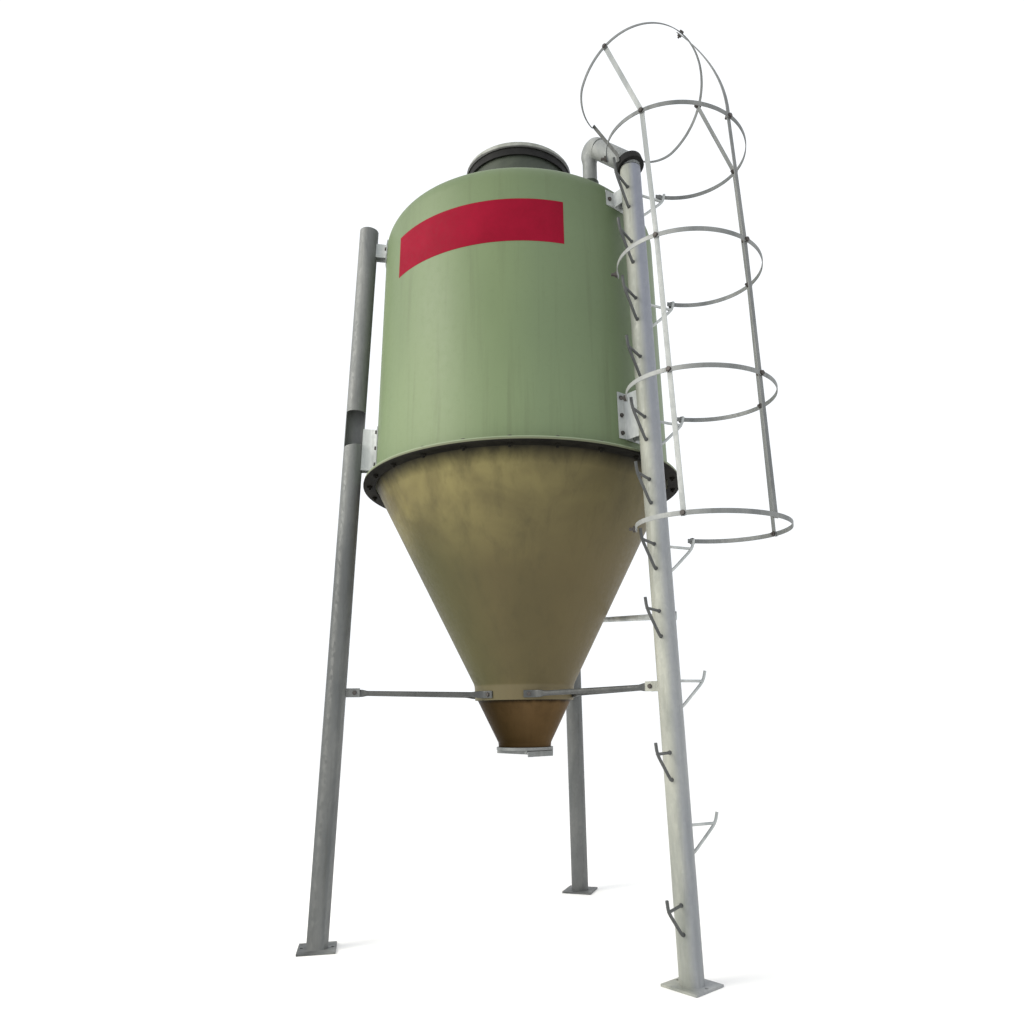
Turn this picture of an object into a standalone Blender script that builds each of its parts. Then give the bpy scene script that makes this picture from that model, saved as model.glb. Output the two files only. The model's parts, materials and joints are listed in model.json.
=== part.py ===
# Feed silo: glass-fibre barrel and cone on three tube legs, with a caged step ladder.
# Metres, +Z up. The pieces are laid out round the barrel's axis and hang on an empty there.

import math

import bmesh
import bpy
from mathutils import Matrix, Vector

for old in list(bpy.data.objects):
    bpy.data.objects.remove(old, do_unlink=True)

# Gap kept between pieces that touch
GAP = 0.0003

# Barrel
FLANGE_Z = 2.2735
SHELL_RADIUS = 0.789
SHELL_TAPER = 0.0270
WALL = 0.006
SHOULDER_Z = 3.627
SHOULDER_RADIUS = 0.105
SHOULDER_ARC = 65.0
SHELL_FLANGE_RADIUS = 0.845
SHELL_FLANGE_THICK = 0.008
RING_OUTER = 0.8490
RING_THICK = 0.008
HOPPER_FLANGE_RADIUS = 0.847
HOPPER_FLANGE_THICK = 0.008

# Roof, neck and lid
NECK_RADIUS = 0.284
NECK_TOP = 4.142
NECK_WALL = 0.005
LID_RADIUS = 0.3055
LID_Z = 4.150
LID_RIM = 0.032
LID_RISE = 0.030
LID_WALL = 0.005
SEAL_BOTTOM = 4.110
SEAL_INNER = 0.2915
SEAL_OUTER = 0.2992
LID_PIN_X = -0.335
LID_PIN_Z = 4.100

# Hopper and outlet
CONE_RADIUS = 0.7826
SKIRT_TOP_RADIUS = 0.259
SKIRT_TOP = 1.228
SKIRT_BOTTOM_RADIUS = 0.2555
SKIRT_BOTTOM = 1.150
LOWER_TOP_RADIUS = 0.240
LOWER_TOP = 1.146
SPOUT_RADIUS = 0.1345
SPOUT_TOP = 0.937
SPOUT_BOTTOM = 0.9145
OUTLET_RADIUS = 0.1455
OUTLET_BORE = 0.075
OUTLET_THICK = 0.0145
GATE_CLEAR = 0.005
GATE_THICK = 0.005
GATE_HALF = 0.079
GATE_BACK = 0.105
GATE_FRONT = 0.122
GATE_LIP = 0.026
RAIL_REACH = 0.116

# Legs
LEG_RADIUS = 1.0071
LEG_LEAN = 0.0419
TUBE_RADIUS = 0.0508
TUBE_WALL = 0.0036
LEG_TOP = 3.735
LADDER_LEG_TOP = 3.745
FOOT_SIDE = 0.177
FOOT_THICK = 0.010
FOOT_HOLE_RADIUS = 0.008
FOOT_HOLE_OUT = 0.071
LEG_AZIMUTHS = {"ladder": 0.0, "back": 120.0, "left": -120.0}
WINDOW_LOW = 2.480
WINDOW_HIGH = 2.668
WINDOW_AZIMUTH = -26.7
WINDOW_DEPTH = 0.006
WINDOW_SLANT = 0.16
WINDOW_ACROSS = Vector((0.66, 0.75, 0.0))

# Brackets between leg and barrel
UPPER_BRACKET_LOW = 3.572
UPPER_BRACKET_HIGH = 3.655
LOWER_BRACKET_LOW = 2.345
LOWER_BRACKET_HIGH = 2.575
BRACKET_PLATE_HALF = 0.075
BRACKET_PLATE_THICK = 0.006
BRACKET_WEB_HALF = 0.026

# Braces from the legs to the hopper's skirt
BRACE_LEG_Z = 1.195
BRACE_SKIRT_Z = 1.178
BRACE_SPREAD = 36.0
BRACE_RADIUS = 0.0125
TAB_HALF_HEIGHT = 0.018
TAB_HALF_THICK = 0.003
LUG_REACH = 0.119
TIE_LADDER_Z = 1.500
TIE_BACK_Z = 1.663
TIE_RADIUS = 0.015

# Steps on the ladder leg
STEP_FIRST_Z = 0.3153
STEP_SPACING = 0.300
STEP_COUNT = 12
STEP_AZIMUTH = 73.6
STEP_REACH = 0.1935
STEP_DROP = 0.110
STEP_TIP_RISE = 0.045
LAST_TIP_RISE = 0.066
STEP_ROD = 0.0068

# Cage. Each hoop: the step it meets, its middle out from the leg, its rise over the step,
# and the tilts it has taken outwards and sideways, in degrees
HOOPS = (
    (6, 0.290, 0.0293, -2.5, 0.0),
    (8, 0.288, 0.0273, -2.95, -0.7),
    (10, 0.286, 0.0330, -3.2, -1.6),
    (12, 0.2695, 0.0480, -3.5, -3.1),
)
HOOP_RADIUS = 0.3240
HOOP_ASIDE = -0.003
HOOP_CURL = 0.010
HOOP_WIDTH = 0.020
BAR_THICK = 0.004
STRAP_WIDTH = 0.022
STRAP_ANGLES = {"a": (-73.8, -77.9), "b": (-4.3, -4.7), "c": (69.6, 65.8)}
TOP_HOOP_X = 0.9367
TOP_HOOP_Z = 4.0697
TOP_HOOP_TILT = 36.3
TOP_HOOP_ROLL = -6.5
TOP_HOOP_RADIUS = 0.3291
TOP_STRAP_ANGLES = {"a": -73.8, "b": -1.1, "c": 64.7}
STRAP_BOWED = "b"
BOW_DROP = 0.497
BOW_IN = 0.025
TOP_HOOP_END = 143.0
TOP_HOOP_CURL = 0.0576
STRAP_INSET = 0.0064
TOP_STRAP_INSET = 0.0076

# Fill pipe over the ladder leg
PIPE_RADIUS = 0.0503
PIPE_WALL = 0.003
PIPE_DOWN_X = 0.576
PIPE_END_Z = 3.804
PIPE_TURN_Z = 3.778
PIPE_SLOPE = 45.0
DROP_RADIUS = 0.0375
ELBOW_CREASE = 0.002
ELBOW_FULLNESS = (
    (0.18, 0.113),
    (0.34, 0.125),
    (0.50, 0.126),
    (0.64, 0.114),
    (0.78, 0.096),
    (0.90, 0.080),
    (1.0, 0.075),
)
COUPLING_RADIUS = 0.068
COUPLING_HALF = 0.019
COUPLING_TILT = 20.0
COUPLING_Z = 3.769
INLET_RADIUS = 0.045
INLET_TOP = 3.824

# The barrel's axis is set so that the whole silo is centred on the origin
CAGE_REACH = (
    LEG_RADIUS
    - LEG_LEAN * (STEP_FIRST_Z + STEP_SPACING * (HOOPS[0][0] - 1))
    + HOOPS[0][1]
    + HOOP_RADIUS
    + BAR_THICK / 2
)
SILO_X = (RING_OUTER - CAGE_REACH) / 2

silo_axis = bpy.data.objects.new("silo_axis", None)
silo_axis.location = (SILO_X, 0.0, 0.0)
bpy.context.scene.collection.objects.link(silo_axis)

# Materials


def material(name, colour, roughness, metallic):
    made = bpy.data.materials.new(name)
    made.use_nodes = True
    shader = made.node_tree.nodes["Principled BSDF"]
    shader.inputs["Base Color"].default_value = (*colour, 1.0)
    shader.inputs["Roughness"].default_value = roughness
    shader.inputs["Metallic"].default_value = metallic
    made.diffuse_color = (*colour, 1.0)
    return made


GREEN_GRP = ("green_grp", (0.23, 0.31, 0.17), 0.45, 0.0)
OLIVE_GRP = ("olive_grp", (0.22, 0.19, 0.10), 0.45, 0.0)
BROWN_GRP = ("brown_grp", (0.09, 0.06, 0.03), 0.45, 0.0)
BLACK_STEEL = ("black_steel", (0.015, 0.013, 0.012), 0.5, 0.3)
ZINC = ("zinc", (0.45, 0.46, 0.43), 0.5, 0.85)
GREY_LID = ("grey_lid", (0.35, 0.35, 0.32), 0.5, 0.0)
RUBBER = ("rubber", (0.012, 0.012, 0.012), 0.8, 0.0)

# Building blocks


def polar(radius, azimuth, z=0.0):
    angle = math.radians(azimuth)
    return Vector((radius * math.cos(angle), radius * math.sin(angle), z))


def place(name, mesh, finish, smooth=True):
    item = bpy.data.objects.new(name, mesh)
    bpy.context.scene.collection.objects.link(item)
    item.parent = silo_axis
    if finish is None:
        item.hide_render = True
        item.display_type = "WIRE"
    else:
        label, colour, roughness, metallic = finish
        mesh.materials.append(material(f"{name}_{label}", colour, roughness, metallic))
    if smooth:
        for face in mesh.polygons:
            face.use_smooth = True
        mesh.set_sharp_from_angle(angle=math.radians(35))
    return item


def from_bmesh(name, bm, finish, smooth=True):
    bmesh.ops.recalc_face_normals(bm, faces=bm.faces)
    mesh = bpy.data.meshes.new(name)
    bm.to_mesh(mesh)
    bm.free()
    return place(name, mesh, finish, smooth)


def turned(name, profile, finish, segments=64):
    """A closed outline of radius and height, turned round the barrel's axis."""
    mesh = bpy.data.meshes.new(name)
    points = [(radius, 0.0, z) for radius, z in profile]
    on_axis = profile[0][0] == 0.0 and profile[-1][0] == 0.0
    count = len(points)
    edges = [(i, i + 1) for i in range(count - 1)]
    if not on_axis:
        edges.append((count - 1, 0))
    mesh.from_pydata(points, edges, [])
    item = place(name, mesh, finish, smooth=False)
    screw = item.modifiers.new("turn", "SCREW")
    screw.axis = "Z"
    screw.angle = math.tau
    screw.steps = segments
    screw.render_steps = segments
    screw.use_merge_vertices = True
    screw.merge_threshold = 0.0001
    screw.use_smooth_shade = True
    return item


def arc(centre_r, centre_z, radius, first, last, count):
    """Points of radius and height on an arc; degrees are counted up from level."""
    steps = [first + (last - first) * i / count for i in range(count + 1)]
    return [
        (
            centre_r + radius * math.cos(math.radians(step)),
            centre_z + radius * math.sin(math.radians(step)),
        )
        for step in steps
    ]


def loft(name, rings, finish, holes=None, smooth=True):
    """Closed skin over rings of equal count, with flat ends or, given inner rings, a bore."""
    bm = bmesh.new()
    outer = [[bm.verts.new(point) for point in ring] for ring in rings]
    inner = [[bm.verts.new(point) for point in ring] for ring in holes or []]

    def skin(skins):
        for low, high in zip(skins, skins[1:]):
            for i in range(len(low)):
                j = (i + 1) % len(low)
                bm.faces.new((low[i], low[j], high[j], high[i]))

    skin(outer)
    skin(inner)
    for end in (0, -1):
        if inner:
            a, b = outer[end], inner[end]
            for i in range(len(a)):
                j = (i + 1) % len(a)
                bm.faces.new((a[i], a[j], b[j], b[i]))
        else:
            bm.faces.new(outer[end])
    return from_bmesh(name, bm, finish, smooth)


def directions(path):
    """Unit direction at each point of a path, mitred at its corners."""
    found = []
    for i, point in enumerate(path):
        before = (point - path[i - 1]).normalized() if i else None
        after = (path[i + 1] - point).normalized() if i + 1 < len(path) else None
        found.append(((before or after) + (after or before)).normalized())
    return found


def rings_along(path, halves, up, count=None):
    """Rings across a path: each ring's half width and half height, round or, without a count, square."""
    rings = []
    for point, along, (half_width, half_height) in zip(path, directions(path), halves):
        side = along.cross(up).normalized()
        top = side.cross(along).normalized()
        if count is None:
            spots = ((-1, -1), (1, -1), (1, 1), (-1, 1))
        else:
            turns = [math.tau * i / count for i in range(count)]
            spots = [(math.cos(turn), math.sin(turn)) for turn in turns]
        rings.append(
            [point + side * (a * half_width) + top * (b * half_height) for a, b in spots]
        )
    return rings


def rod(name, path, radius, finish, up=Vector((0, 1, 0)), count=12, bore=None):
    rings = rings_along(path, [(radius, radius)] * len(path), up, count)
    holes = None
    if bore:
        holes = rings_along(path, [(bore, bore)] * len(path), up, count)
    return loft(name, rings, finish, holes)


def rounded(corners, radii, steps=6):
    """Path through corners with each inner corner turned to an arc of its radius."""
    path = [corners[0]]
    for before, corner, after, radius in zip(corners, corners[1:], corners[2:], radii):
        inward = (before - corner).normalized()
        outward = (after - corner).normalized()
        half = inward.angle(outward) / 2
        reach = radius / math.tan(half)
        centre = corner + (inward + outward).normalized() * (radius / math.sin(half))
        start = corner + inward * reach - centre
        swing = start.rotation_difference(corner + outward * reach - centre)
        for i in range(steps + 1):
            turn = swing.copy()
            turn.angle = swing.angle * i / steps
            spot = start.copy()
            spot.rotate(turn)
            path.append(centre + spot)
    path.append(corners[-1])
    return path


def block(name, low, high, finish, turn=Matrix.Identity(4)):
    """Box from its low to its high corner, then turned or moved."""
    bm = bmesh.new()
    bmesh.ops.create_cube(bm, size=1.0)
    middle = (Vector(low) + Vector(high)) / 2
    size = Vector(high) - Vector(low)
    for corner in bm.verts:
        corner.co = turn @ (Vector(corner.co[i] * size[i] for i in range(3)) + middle)
    return from_bmesh(name, bm, finish, smooth=False)


def cylinder(name, low, high, radius, finish, count=24):
    up = Vector((0, 1, 0)) if abs((high - low).normalized().y) < 0.9 else Vector((1, 0, 0))
    return rod(name, [low, high], radius, finish, up, count)


def combine(item, other, operation):
    step = item.modifiers.new(f"{operation.lower()}_{other.name}", "BOOLEAN")
    step.operation = operation
    step.solver = "EXACT"
    step.object = other
    return item


def leg_axis(azimuth, z, out=0.0):
    return polar(LEG_RADIUS - LEG_LEAN * z + out, azimuth, z)


# Barrel: tapered wall, rounded shoulder and a flange at its foot

ring_top = FLANGE_Z
hopper_flange_low = ring_top + GAP
hopper_flange_high = hopper_flange_low + HOPPER_FLANGE_THICK
shell_low = hopper_flange_high + GAP
shell_flange_high = shell_low + SHELL_FLANGE_THICK


def shell_radius(z):
    return SHELL_RADIUS - SHELL_TAPER * (z - FLANGE_Z)


shoulder_centre = shell_radius(SHOULDER_Z) - SHOULDER_RADIUS
roof_slope = math.tan(math.radians(90.0 - SHOULDER_ARC))
shoulder_outer = arc(shoulder_centre, SHOULDER_Z, SHOULDER_RADIUS, SHOULDER_ARC, 0.0, 6)
shoulder_inner = arc(shoulder_centre, SHOULDER_Z, SHOULDER_RADIUS - WALL, 0.0, SHOULDER_ARC, 6)
turned(
    "cylinder_shell",
    shoulder_outer
    + [
        (shell_radius(shell_flange_high), shell_flange_high),
        (SHELL_FLANGE_RADIUS, shell_flange_high),
        (SHELL_FLANGE_RADIUS, shell_low),
        (shell_radius(shell_low) - WALL, shell_low),
    ]
    + shoulder_inner,
    GREEN_GRP,
)

# Roof: shallow cone from the shoulder's edge to the neck

edge_outer = shoulder_outer[0]
edge_inner = shoulder_inner[-1]


def roof_z(radius):
    return edge_outer[1] + (edge_outer[0] - radius) * roof_slope


roof_eave = edge_inner[0] - GAP
roof_hole = NECK_RADIUS + GAP
roof_down = WALL / math.cos(math.radians(90.0 - SHOULDER_ARC))
turned(
    "roof",
    [
        (roof_hole, roof_z(roof_hole)),
        (roof_eave, roof_z(roof_eave)),
        (roof_eave, roof_z(roof_eave) - roof_down),
        (roof_hole, roof_z(roof_hole) - roof_down),
    ],
    GREEN_GRP,
)

# Filling neck through the roof, open at both ends
turned(
    "neck",
    [
        (NECK_RADIUS, NECK_TOP),
        (NECK_RADIUS, roof_z(NECK_RADIUS) - 0.030),
        (NECK_RADIUS - NECK_WALL, roof_z(NECK_RADIUS) - 0.030),
        (NECK_RADIUS - NECK_WALL, NECK_TOP),
    ],
    GREEN_GRP,
)

# Lid: shallow dome with an upright rim, a rubber seal inside it, and a hinge away from the ladder

lid_rim_top = LID_Z + LID_RIM


def dome(radius, drop):
    return lid_rim_top + LID_RISE * (1.0 - (radius / LID_RADIUS) ** 2) - drop


dome_radii = (0.0, 0.10, 0.20, 0.27)
lid = turned(
    "lid",
    [(radius, dome(radius, 0.0)) for radius in dome_radii]
    + [
        (LID_RADIUS, lid_rim_top - 0.002),
        (LID_RADIUS, LID_Z),
        (LID_RADIUS - LID_WALL, LID_Z),
        (LID_RADIUS - LID_WALL, lid_rim_top - 0.006),
    ]
    + [(radius, dome(radius, LID_WALL)) for radius in reversed(dome_radii)],
    GREY_LID,
    48,
)
lid_leaf = block(
    "lid_leaf_tool",
    (LID_PIN_X - 0.006, -0.018, LID_Z + 0.004),
    (-LID_RADIUS + LID_WALL / 2, 0.018, LID_Z + 0.012),
    None,
)
lid_drop = block(
    "lid_drop_tool",
    (LID_PIN_X - 0.005, -0.018, LID_PIN_Z),
    (LID_PIN_X + 0.005, 0.018, LID_Z + 0.008),
    None,
)
pin_low = Vector((LID_PIN_X, -0.018, LID_PIN_Z))
pin_high = Vector((LID_PIN_X, 0.018, LID_PIN_Z))
lid_knuckle = cylinder("lid_knuckle_tool", pin_low, pin_high, 0.009, None, 16)
for piece in (lid_leaf, lid_drop, lid_knuckle):
    combine(lid, piece, "UNION")
turned(
    "lid_seal",
    [
        (SEAL_OUTER, lid_rim_top - 0.012),
        (SEAL_OUTER, SEAL_BOTTOM),
        (SEAL_INNER, SEAL_BOTTOM),
        (SEAL_INNER, lid_rim_top - 0.012),
    ],
    RUBBER,
    48,
)
hinge = block(
    "lid_hinge",
    (LID_PIN_X - 0.008, -0.042, LID_PIN_Z - 0.034),
    (-NECK_RADIUS + 0.004, 0.042, LID_PIN_Z - 0.018),
    ZINC,
)
for side in (-1, 1):
    edges = sorted((side * 0.024, side * 0.040))
    ear = block(
        f"hinge_ear_tool_{side + 2}",
        (LID_PIN_X - 0.008, edges[0], LID_PIN_Z - 0.026),
        (LID_PIN_X + 0.008, edges[1], LID_PIN_Z + 0.008),
        None,
    )
    combine(hinge, ear, "UNION")
neck_tool = cylinder(
    "neck_tool",
    Vector((0, 0, NECK_TOP - 0.3)),
    Vector((0, 0, NECK_TOP + 0.1)),
    NECK_RADIUS + GAP,
    None,
    128,
)
combine(hinge, neck_tool, "DIFFERENCE")

# Black flat ring under the barrel, then the cone with its flange above it and a skirt at its foot

turned(
    "flange_ring",
    [
        (RING_OUTER, ring_top),
        (RING_OUTER, ring_top - RING_THICK),
        (CONE_RADIUS + 0.002, ring_top - RING_THICK),
        (CONE_RADIUS + 0.002, ring_top),
    ],
    BLACK_STEEL,
)
turned(
    "hopper_upper",
    [
        (HOPPER_FLANGE_RADIUS, hopper_flange_high),
        (HOPPER_FLANGE_RADIUS, hopper_flange_low),
        (CONE_RADIUS, hopper_flange_low),
        (SKIRT_TOP_RADIUS, SKIRT_TOP),
        (SKIRT_BOTTOM_RADIUS, SKIRT_BOTTOM),
        (SKIRT_BOTTOM_RADIUS - WALL, SKIRT_BOTTOM),
        (SKIRT_TOP_RADIUS - WALL, SKIRT_TOP + 0.002),
        (CONE_RADIUS - WALL, hopper_flange_high),
    ],
    OLIVE_GRP,
)

# Lower cone, hung inside the skirt, with a short spout
nest = SKIRT_BOTTOM_RADIUS - WALL - GAP * 3
turned(
    "hopper_lower",
    [
        (nest, SKIRT_TOP - 0.020),
        (nest, SKIRT_BOTTOM + 0.004),
        (LOWER_TOP_RADIUS, LOWER_TOP),
        (SPOUT_RADIUS + 0.002, SPOUT_TOP),
        (SPOUT_RADIUS, SPOUT_TOP - 0.004),
        (SPOUT_RADIUS, SPOUT_BOTTOM),
        (SPOUT_RADIUS - WALL, SPOUT_BOTTOM),
        (SPOUT_RADIUS - WALL, SPOUT_TOP),
        (LOWER_TOP_RADIUS - WALL, LOWER_TOP + 0.003),
        (nest - WALL, SKIRT_BOTTOM + 0.008),
        (nest - WALL, SKIRT_TOP - 0.020),
    ],
    BROWN_GRP,
)

# Outlet ring with two rails, and the plate that slides in them towards the ladder

outlet_high = SPOUT_BOTTOM - GAP
outlet_low = outlet_high - OUTLET_THICK
outlet = turned(
    "outlet_ring",
    [
        (OUTLET_RADIUS, outlet_high),
        (OUTLET_RADIUS, outlet_low),
        (OUTLET_BORE, outlet_low),
        (OUTLET_BORE, outlet_high),
    ],
    ZINC,
    48,
)
gate_high = outlet_low - GATE_CLEAR
gate_low = gate_high - GATE_THICK
rail_low = gate_low - GATE_CLEAR - 0.003
rail_in = GATE_HALF + GATE_CLEAR
for side in (-1, 1):
    wall = sorted((side * rail_in, side * (rail_in + 0.006)))
    lip = sorted((side * (rail_in - 0.016), side * (rail_in + 0.006)))
    wall_box = block(
        f"rail_wall_tool_{side + 2}",
        (-RAIL_REACH, wall[0], rail_low),
        (RAIL_REACH, wall[1], outlet_low + 0.004),
        None,
    )
    lip_box = block(
        f"rail_lip_tool_{side + 2}",
        (-RAIL_REACH, lip[0], rail_low),
        (RAIL_REACH, lip[1], rail_low + 0.003),
        None,
    )
    combine(outlet, wall_box, "UNION")
    combine(outlet, lip_box, "UNION")
gate = block(
    "slide_gate",
    (-GATE_BACK, -GATE_HALF, gate_low),
    (GATE_FRONT, GATE_HALF, gate_high),
    ZINC,
)
gate_lip = block(
    "gate_lip_tool",
    (GATE_FRONT - GATE_THICK, -GATE_HALF - 0.004, gate_high - GATE_LIP),
    (GATE_FRONT + 0.001, GATE_HALF + 0.004, gate_high + 0.001),
    None,
)
combine(gate, gate_lip, "UNION")

# Legs: tube on a square foot plate, with lugs for the braces


def tube(name, azimuth, low, high, radius, bore, finish):
    path = [leg_axis(azimuth, low), leg_axis(azimuth, high)]
    return rod(name, path, radius, finish, polar(1.0, azimuth + 90.0), 32, bore)


def brace_line(azimuth, side):
    """The brace's bend and tab end at the skirt, and its level direction from the leg."""
    lug = azimuth + side * BRACE_SPREAD
    share = (BRACE_SKIRT_Z - SKIRT_BOTTOM) / (SKIRT_TOP - SKIRT_BOTTOM)
    skirt = SKIRT_BOTTOM_RADIUS + (SKIRT_TOP_RADIUS - SKIRT_BOTTOM_RADIUS) * share
    middle = polar(skirt + GAP * 4 + TAB_HALF_THICK, lug, BRACE_SKIRT_Z)
    tangent = polar(1.0, lug + side * 90.0)
    bend = middle - tangent * 0.030
    end = middle + tangent * 0.026
    start = leg_axis(azimuth, BRACE_LEG_Z)
    level = bend - start
    level.z = 0.0
    return start, bend, end, level.normalized()


foot_half = FOOT_SIDE / 2
for label, azimuth in LEG_AZIMUTHS.items():
    top = LADDER_LEG_TOP if label == "ladder" else LEG_TOP
    leg = tube(f"leg_{label}", azimuth, FOOT_THICK / 2, top, TUBE_RADIUS, None, ZINC)
    hollow_top = top + 0.02 if label == "ladder" else top - 0.006
    hollow = tube(
        f"hollow_tool_{label}", azimuth, FOOT_THICK, hollow_top, TUBE_RADIUS - TUBE_WALL, None, None
    )
    spin = Matrix.Translation(polar(LEG_RADIUS, azimuth)) @ Matrix.Rotation(
        math.radians(azimuth), 4, "Z"
    )
    plate = block(
        f"foot_tool_{label}",
        (-foot_half, -foot_half, 0.0),
        (foot_half, foot_half, FOOT_THICK),
        None,
        spin,
    )
    combine(leg, plate, "UNION")
    combine(leg, hollow, "DIFFERENCE")
    vent_low = polar(LEG_RADIUS, azimuth, -0.01)
    vent = cylinder(f"vent_tool_{label}", vent_low, vent_low + Vector((0, 0, 0.04)), 0.018, None, 16)
    combine(leg, vent, "DIFFERENCE")
    for side in (-1, 1):
        spot = polar(LEG_RADIUS + side * FOOT_HOLE_OUT, azimuth)
        hole = cylinder(
            f"foot_hole_tool_{label}_{side + 2}",
            spot - Vector((0, 0, 0.01)),
            spot + Vector((0, 0, 0.03)),
            FOOT_HOLE_RADIUS,
            None,
            16,
        )
        combine(leg, hole, "DIFFERENCE")
        start, bend, end, level = brace_line(azimuth, side)
        frame = Matrix.Translation(start) @ level.to_track_quat("X", "Z").to_matrix().to_4x4()
        lug = block(
            f"lug_tool_{label}_{side + 2}",
            (TUBE_RADIUS - 0.0022, -0.003, -0.022),
            (LUG_REACH, 0.003, 0.022),
            None,
            frame,
        )
        combine(leg, lug, "UNION")
    if label == "left":
        window = block(
            "window_tool",
            (WINDOW_DEPTH, -0.08, WINDOW_LOW),
            (0.1, 0.08, WINDOW_HIGH),
            None,
            Matrix.Translation(leg_axis(azimuth, 0.0, -LEG_LEAN * (WINDOW_LOW + WINDOW_HIGH) / 2))
            @ Matrix.Rotation(math.radians(WINDOW_AZIMUTH), 4, "Z"),
        )
        # its lower cut slants
        for corner in window.data.vertices:
            if corner.co.z < (WINDOW_LOW + WINDOW_HIGH) / 2:
                beside = (corner.co - polar(LEG_RADIUS - LEG_LEAN * WINDOW_LOW, azimuth)).dot(WINDOW_ACROSS)
                corner.co.z += WINDOW_SLANT * beside
        combine(leg, window, "DIFFERENCE")

# Brackets: curved wall plate and a web to the leg, one short and one tall to a leg

bracket_levels = {
    "upper": (UPPER_BRACKET_LOW, UPPER_BRACKET_HIGH),
    "lower": (LOWER_BRACKET_LOW, LOWER_BRACKET_HIGH),
}

def top_of_leg(label):
    return (LADDER_LEG_TOP if label == "ladder" else LEG_TOP) + 0.001


def barrel_radius(z):
    """Outer radius of the barrel, over its taper and its shoulder."""
    if z <= SHOULDER_Z:
        return shell_radius(z)
    return shoulder_centre + math.sqrt(SHOULDER_RADIUS**2 - (z - SHOULDER_Z) ** 2)


for label, azimuth in LEG_AZIMUTHS.items():
    leg_tool = tube(f"tube_tool_{label}", azimuth, 1.0, top_of_leg(label), TUBE_RADIUS + GAP * 2, None, None)
    spin = Matrix.Rotation(math.radians(azimuth), 4, "Z")
    for level, (low, high) in bracket_levels.items():
        levels = [low + (high - low) * i / 5 for i in range(6)]
        reach = barrel_radius(low) + BRACKET_PLATE_THICK
        spread = math.degrees(BRACKET_PLATE_HALF / reach)
        rings = []
        for i in range(7):
            turn = azimuth - spread + spread * i / 3
            ring = [polar(barrel_radius(z) + GAP * 2, turn, z) for z in levels]
            ring += [polar(barrel_radius(z) + BRACKET_PLATE_THICK, turn, z) for z in reversed(levels)]
            rings.append(ring)
        bracket = loft(f"{level}_bracket_{label}", rings, ZINC)
        web = block(
            f"web_tool_{level}_{label}",
            (barrel_radius(high) + BRACKET_PLATE_THICK * 0.6, -BRACKET_WEB_HALF, low + 0.002),
            (leg_axis(0.0, low).x, BRACKET_WEB_HALF, high - 0.002),
            None,
            spin,
        )
        pocket = block(
            f"pocket_tool_{level}_{label}",
            (barrel_radius(low) + BRACKET_PLATE_THICK, -BRACKET_WEB_HALF + 0.005, low - 0.01),
            (leg_axis(0.0, low).x + 0.01, BRACKET_WEB_HALF - 0.005, high - 0.008),
            None,
            spin,
        )
        behind = turned(
            f"barrel_tool_{level}_{label}",
            [(0.0, high + 0.01)]
            + [(barrel_radius(z) + GAP * 2, z) for z in [high + 0.01] + levels[::-1] + [low - 0.01]]
            + [(0.0, low - 0.01)],
            None,
        )
        combine(web, pocket, "DIFFERENCE")
        combine(web, behind, "DIFFERENCE")
        combine(web, leg_tool, "DIFFERENCE")
        combine(bracket, web, "UNION")

# Braces: tubes with flattened ends, bolted to a leg's lug and to the skirt

brace_names = {-1: "right", 1: "left"}
for label, azimuth in LEG_AZIMUTHS.items():
    for side in (-1, 1):
        start, bend, end, level = brace_line(azimuth, side)
        beside = level.cross(Vector((0, 0, 1))) * (0.003 + GAP + TAB_HALF_THICK) * -side
        line = bend - start
        length = line.length
        stops = (0.066, 0.122, 0.150, length - 0.055, length - 0.020)
        path = [start + beside + line * (stop / length) for stop in stops]
        path[-2:] = [start + beside * 0.4 + line * (stop / length) for stop in stops[-2:]]
        path += [bend, end]
        flat = (TAB_HALF_THICK, TAB_HALF_HEIGHT)
        full = (BRACE_RADIUS, BRACE_RADIUS)
        halves = [flat, flat, full, full, flat, flat, flat]
        rings = rings_along(path, halves, Vector((0, 0, 1)), 12)
        loft(f"brace_{label}_{brace_names[side]}", rings, ZINC)

# Tie bar from the ladder leg to the back leg, flattened where it lies against the tubes
tie_side = polar(TUBE_RADIUS + 0.0012 + TAB_HALF_THICK, 60.0)
tie_start = leg_axis(0.0, TIE_LADDER_Z) + tie_side
tie_end = leg_axis(120.0, TIE_BACK_Z) + tie_side
tie_line = tie_end - tie_start
tie_length = tie_line.length
tie_stops = (-0.008, 0.035, 0.080, tie_length - 0.080, tie_length - 0.035, tie_length + 0.025)
tie_path = [tie_start + tie_line * (stop / tie_length) for stop in tie_stops]
tie_flat = (TAB_HALF_THICK, 0.020)
tie_full = (TIE_RADIUS, TIE_RADIUS)
tie_halves = [tie_flat, tie_flat, tie_full, tie_full, tie_flat, tie_flat]
loft("tie_bar", rings_along(tie_path, tie_halves, Vector((0, 0, 1)), 12), ZINC)

# Steps: a level rod and a rising one that meets it and ends in an upturned tip


def step(name, z, side, tip_rise=STEP_TIP_RISE):
    away = polar(1.0, side * STEP_AZIMUTH)
    near = TUBE_RADIUS + 0.0010
    base = leg_axis(0.0, z) + away * near
    foot = leg_axis(0.0, z - STEP_DROP) + away * near
    elbow = leg_axis(0.0, z) + away * (STEP_REACH - 0.012)
    tip = leg_axis(0.0, z) + away * STEP_REACH + Vector((0, 0, tip_rise))
    across = away.cross(Vector((0, 0, 1)))
    path = [foot] + rounded([foot + away * 0.008, elbow, tip], [0.030], 3)
    item = rod(name, path, STEP_ROD, ZINC, across, 10)
    level_rod = rod(f"{name}_tool", [base, elbow], STEP_ROD - 0.0005, None, across, 10)
    return combine(item, level_rod, "UNION")


def step_z(number):
    return STEP_FIRST_Z + STEP_SPACING * (number - 1)


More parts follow.
